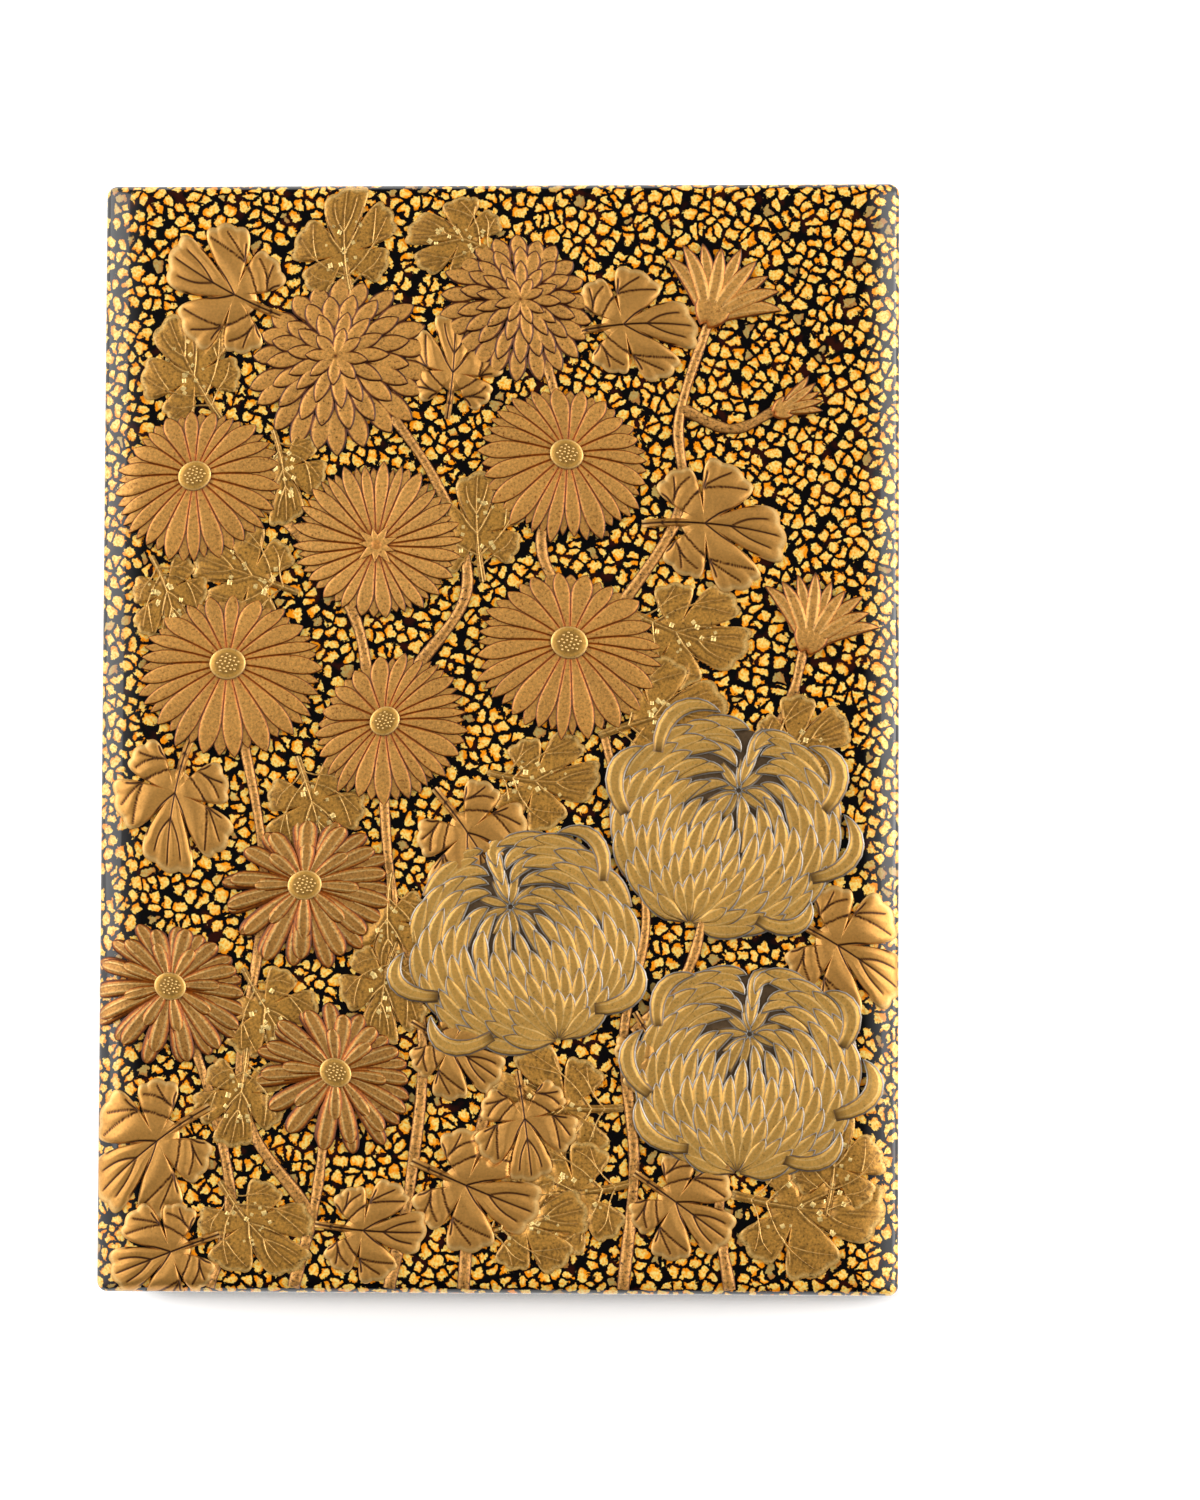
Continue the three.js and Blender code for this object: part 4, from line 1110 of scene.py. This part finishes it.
def spaced_tips(size, draw):
    """Potential, stream and scale of each petal's tip. The tips are taken one by one away from the
    drain, each as soon as none before it is nearer than the spacing along and across the flow. They
    stand closer by the drain, and where the petals from both sides meet beyond it."""
    share = np.linspace(-1, 1, 181)
    stream = 0.9995 * math.pi * np.sign(share) * (1 - (1 - np.abs(share)) ** 2)
    potential, stream = np.meshgrid(np.linspace(2.6, -3.4, 120), stream, indexing="ij")
    potential, stream = potential.ravel() + draw.uniform(-0.05, 0.05, potential.size), stream.ravel()
    tip = lines_of_flow(potential, stream)
    ahead = lines_of_flow(potential + 0.01, stream) - tip
    ahead = ahead / np.abs(ahead)
    away = np.clip(np.abs(tip - INCURVED_MEETING) / 0.5, 0, 1)
    seam = np.clip((tip.real - 0.45) / 0.3, 0, 1) * np.clip(1.3 - np.abs(tip.imag) / 0.35, 0, 1)
    room = (0.35 + 0.65 * away ** 0.8) * (1 - 0.4 * seam)
    kept = []
    for number, place in enumerate(tip):
        apart = size * (tip[kept] - place) / (ahead[number] * room[number])
        if not np.any((apart.real / TIPS_APART_ALONG) ** 2 + (apart.imag / TIPS_APART_ACROSS) ** 2 < 1):
            kept.append(number)
    return potential[kept], stream[kept], 0.72 + 0.28 * away[kept]


def incurved_bloom(x, y, size, turn, way, draw):
    """Broad ribbed petals that spring from the bloom's back edge and close over its face, like scales
    along the lines of the flow. Nine small ones meet at the drain, and a few loose ones stand out at
    the sides and hook back in. A low mound closes the ground under them."""
    ahead = np.exp(1j * math.radians(way))
    u = petal_steps(11)
    lines, scales, lifts = [], [], []
    for potential, stream, scale in zip(*spaced_tips(size, draw)):
        line = size * lines_of_flow(np.linspace(potential, -9, 500), stream)
        run = np.concatenate([[0], np.cumsum(np.abs(np.diff(line)))])
        back = (1 - u) * min(INCURVED_LENGTH * scale * draw.uniform(0.9, 1.15), run[-1])
        line = np.interp(back, run, line.real) + 1j * np.interp(back, run, line.imag)
        lines.append(line)
        scales.append(scale)
        lifts.append(0.22 + 0.28 * np.clip(1 - np.abs(line / size) ** 2, 0, 1) + 0.34 * u)
    for number in range(MEETING_PETALS):
        outwards = np.exp(2j * math.pi * (number + 0.3) / MEETING_PETALS)
        lines.append(size * (INCURVED_MEETING + (0.3 - 0.28 * u) * outwards))
        scales.append(0.62)
        lifts.append(0.42 + 0.12 * u)
    for side in (1, -1):
        for start in np.radians(draw.uniform(0, 16) + np.array([22, 62, 104])):
            away = size * (0.93 + draw.uniform(0.18, 0.3) * np.sin(math.pi * 0.8 * u))
            line = -away * np.exp(-1j * side * (start + draw.uniform(0.5, 0.7) * u))
            flat = (x + 1j * y) + line * ahead
            others = [bloom for bloom in BLOOMS if math.dist(bloom[1:3], (x, y)) > 1]
            if all(np.abs(flat - complex(*other[1:3])).min() > other[3] + 0.9 for other in others):
                lines.append(line)
                scales.append(1.0)
                lifts.append(0.6 + 0.1 * u)
    line = np.array(lines) * ahead
    path = np.array([x, y]) + np.stack([line.real, line.imag], -1)
    scale = np.array(scales) * draw.uniform(0.92, 1.1, len(lines))
    width = almond(INCURVED_HALF_WIDTH, 0.2)(u, 0) * scale[:, None]
    width = width * np.clip(np.abs(np.array(lines) + size) / 2.2, 0.12, 1)
    # The mound takes the groove colour, painted dark as shade in the gaps between the petals
    mound, _ = dome((x, y), 0.95 * size, 0.4)
    return [(mound, shade_of(0.5, 0.0, 0.4)),
            petal_shells(path, width, np.array(lifts), 0.12, ribs=0.022,
                         tone=draw.uniform(0.4, 0.6, len(lines)), line=0.24)]


makers = {"flat": flat_bloom, "crowned": crowned_bloom, "back": back_bloom, "double": double_bloom,
          "incurved": incurved_bloom}
finishes = {
    "flat": raised_gold_finish("raised_gold_orange", "#CE9244", "#E2B26A", "#B05A0C", "#3C2814",
                               metallic=0.45),
    "crowned": raised_gold_finish("raised_gold_crowned", "#B07832", "#E4BE78", "#AE5A0C", "#562A08",
                                  grit=1.1),
    "back": raised_gold_finish("raised_gold_back", "#DA9C4C", "#E6B86E", "#A8580E", "#3C2814",
                               metallic=0.45),
    "double": raised_gold_finish("raised_gold_double", "#D69748", "#E8BA6C", "#743A0A", "#281206"),
    "incurved": raised_gold_finish("raised_gold_incurved", "#D6A04A", "#EEC67C", "#64461E", "#A29C92",
                                   metallic=0.55, roughness=0.34, grit=0.5),
}
for kind, make_bloom in makers.items():
    draw = np.random.default_rng(len(kind))
    parts = []
    for bloom in BLOOMS:
        if bloom[0] == kind:
            parts += facing(make_bloom(*bloom[1:], draw), bloom)
    relief_piece(f"ornament_{kind}_blooms", parts, finishes[kind])

BUTTON_SHARE = 0.19
BUTTON_HEIGHT = 0.85
BUTTON_EDGE = 0.75
SEED_COUNT = 22
button_parts = []
for bloom in BLOOMS:
    kind, x, y, size = bloom[:4]
    if kind in ("flat", "crowned"):
        button = ((x, y), BUTTON_SHARE * size, BUTTON_HEIGHT, BUTTON_EDGE)
        button_parts += facing([dome(*button), seeds(*button, SEED_COUNT)], bloom)
relief_piece("ornament_buttons", button_parts, finishes["incurved"])

# Raised ornament: buds
# Two opening buds and a closed one, built up like the blooms: each is a fan of petals held by a cup
# of short sepals at the end of a stem.

BUDS = [
    # across, along, direction in degrees, length, petals, spread in degrees
    (19.5, 39, 65, 8, 9, 74), (26, 30.5, 25, 5, 5, 30), (29, 8, 70, 7.5, 9, 70),
]
bud_parts = []
draw = np.random.default_rng(3)
for x, y, direction, length, count, spread in BUDS:
    middle = math.radians(direction)
    fan = middle + np.radians(np.linspace(-spread / 2, spread / 2, count))
    for angles, lift in ((fan[::2], rising(0.24, 0.2)), (fan[1::2], rising(0.34, 0.24))):
        bud_parts.append(petals((x, y), angles, 0.2, length * draw.uniform(0.9, 1, len(angles)),
                                almond(0.1 * length), lift, 0.16, curl=0.5 * (angles - middle), ribs=0.03))
    cup = middle + np.linspace(-0.8, 0.8, 5)
    bud_parts.append(petals((x, y), cup, 0.05, length * 0.36, almond(0.085 * length, 0.3),
                            rising(0.5, 0.12), 0.1, curl=0.3 * (middle - cup), steps=9))
relief_piece("ornament_buds", bud_parts, finishes["flat"])

# Floor, light and camera
# The box lies on a white sheet that shows pure white, with soft light from both sides. Along the
# front wall a shadow is painted on the sheet close to the box, from ambient occlusion, on that side only.

SHEET_HALF = 2000
SHEET_Z = -0.05
CONTACT_SHADE = 3.8
DARKEST_SKY = 0.03
FOCAL_PIXELS = 5600
FRAME_HEIGHT_PIXELS = 1500
SENSOR = 36

corners = [(-SHEET_HALF, -SHEET_HALF), (SHEET_HALF, -SHEET_HALF), (SHEET_HALF, SHEET_HALF),
           (-SHEET_HALF, SHEET_HALF)]
floor = make_mesh("floor", [(*corner, SHEET_Z) for corner in corners], [np.array([[0, 1, 2, 3]])])
floor_paint = bpy.data.materials.new("white_floor")
floor_paint.use_nodes = True
tree = floor_paint.node_tree
tree.nodes.clear()
seen = add_node(tree, "ShaderNodeLightPath")
# Painted shadow: the sheet is darkened where ambient occlusion finds the box within reach, only in front of
# its front wall, and its glow is dimmed there too
near = add_node(tree, "ShaderNodeAmbientOcclusion", {"Distance": CONTACT_SHADE * MM},
                samples=8).outputs["AO"]
near = add_node(tree, "ShaderNodeMapRange", {0: near, 1: 0.95, 2: 0.6}).outputs[0]
place = add_node(tree, "ShaderNodeTexCoord").outputs["Object"]
along = add_node(tree, "ShaderNodeSeparateXYZ", {0: place}).outputs[1]
before = add_node(tree, "ShaderNodeMapRange",
                  {0: along, 1: -BOX_HALF_Y * MM, 2: -(BOX_HALF_Y + 1) * MM}).outputs[0]
near = add_node(tree, "ShaderNodeMath", {0: near, 1: before}, operation="MULTIPLY").outputs[0]
sheet_with_painted_shadow = add_node(tree, "ShaderNodeMix", {0: near, 6: linear("#F4F4F4"), 7: linear("#9A9A9A")},
                 data_type="RGBA").outputs[2]
glow_less_painted_shadow = add_node(tree, "ShaderNodeMapRange", {0: near, 3: 0.58, 4: 0.0}).outputs[0]
lit = add_node(tree, "ShaderNodeBsdfDiffuse", {"Color": sheet_with_painted_shadow})
glow = add_node(tree, "ShaderNodeEmission", {"Color": (1, 1, 1, 1), "Strength": glow_less_painted_shadow})
shown = add_node(tree, "ShaderNodeMath",
                 {0: seen.outputs["Is Camera Ray"], 1: seen.outputs["Is Glossy Ray"]}, operation="ADD")
shown = add_node(tree, "ShaderNodeMath", {0: shown.outputs[0], 1: seen.outputs["Is Transmission Ray"]},
                 operation="ADD", use_clamp=True)
lifted = add_node(tree, "ShaderNodeAddShader", {0: lit.outputs[0], 1: glow.outputs[0]})
both = add_node(tree, "ShaderNodeMixShader", {0: shown.outputs[0], 1: lit.outputs[0], 2: lifted.outputs[0]})
add_node(tree, "ShaderNodeOutputMaterial", {"Surface": both.outputs[0]})
floor.data.materials.append(floor_paint)

world = bpy.data.worlds.new("studio")
bpy.context.scene.world = world
world.use_nodes = True
tree = world.node_tree
tree.nodes.clear()
way = add_node(tree, "ShaderNodeTexCoord").outputs["Generated"]
way = add_node(tree, "ShaderNodeSeparateXYZ", {0: way}).outputs
left = add_node(tree, "ShaderNodeMapRange", {0: way[0], 1: -0.14, 2: -0.95, 4: 1.95}).outputs[0]
right = add_node(tree, "ShaderNodeMapRange", {0: way[0], 1: 0.14, 2: 0.75, 4: 2.4}).outputs[0]
strip = add_node(tree, "ShaderNodeMapRange", {0: way[0], 1: 0.9, 2: 0.97, 4: 3.0}).outputs[0]
sky = add_node(tree, "ShaderNodeMath", {0: left, 1: right}, operation="ADD").outputs[0]
sky = add_node(tree, "ShaderNodeMath", {0: sky, 1: strip}, operation="ADD").outputs[0]
sky = add_node(tree, "ShaderNodeMath", {0: sky, 1: DARKEST_SKY}, operation="ADD").outputs[0]
front = add_node(tree, "ShaderNodeMapRange", {0: way[1], 1: -0.8, 2: 0.0, 3: 0.15, 4: 1.0}).outputs[0]
sky = add_node(tree, "ShaderNodeMath", {0: sky, 1: front}, operation="MULTIPLY").outputs[0]
studio = add_node(tree, "ShaderNodeBackground", {"Color": (1, 1, 1, 1), "Strength": sky})
add_node(tree, "ShaderNodeOutputWorld", {"Surface": studio.outputs[0]})


def soft_lamp(name, place, aim, width, length, radiance):
    """A softbox: a rectangular lamp at a place, facing a point, both in metres. A lamp gives its
    power over its area and over pi, so the power is the radiance times both."""
    light = bpy.data.lights.new(name, "AREA")
    light.shape = "RECTANGLE"
    light.size, light.size_y = width, length
    light.energy = radiance * math.pi * width * length
    lamp = bpy.data.objects.new(name, light)
    bpy.context.scene.collection.objects.link(lamp)
    lamp.location = place
    direction = Vector(aim) - Vector(place)
    lamp.rotation_mode = "QUATERNION"
    lamp.rotation_quaternion = direction.to_track_quat("-Z", "Y")


middle = (0, 0, 0.03)
soft_lamp("left_softbox", (-0.42, 0.16, 0.3), middle, 0.4, 0.5, 2.05)
soft_lamp("right_softbox", (0.42, 0.1, 0.26), middle, 0.26, 0.5, 1.7)

camera_data = bpy.data.cameras.new("camera")
camera = bpy.data.objects.new("camera", camera_data)
bpy.context.scene.collection.objects.link(camera)
bpy.context.scene.camera = camera
camera.location = (0.0353, -0.0319, 0.560)
camera.rotation_euler = [math.radians(a) for a in (3.33, 2.78, 0.24)]
camera_data.sensor_width = SENSOR
camera_data.lens = FOCAL_PIXELS / FRAME_HEIGHT_PIXELS * SENSOR
camera_data.clip_start = 0.01
camera_data.clip_end = 20

bpy.context.scene.view_settings.view_transform = "Standard"
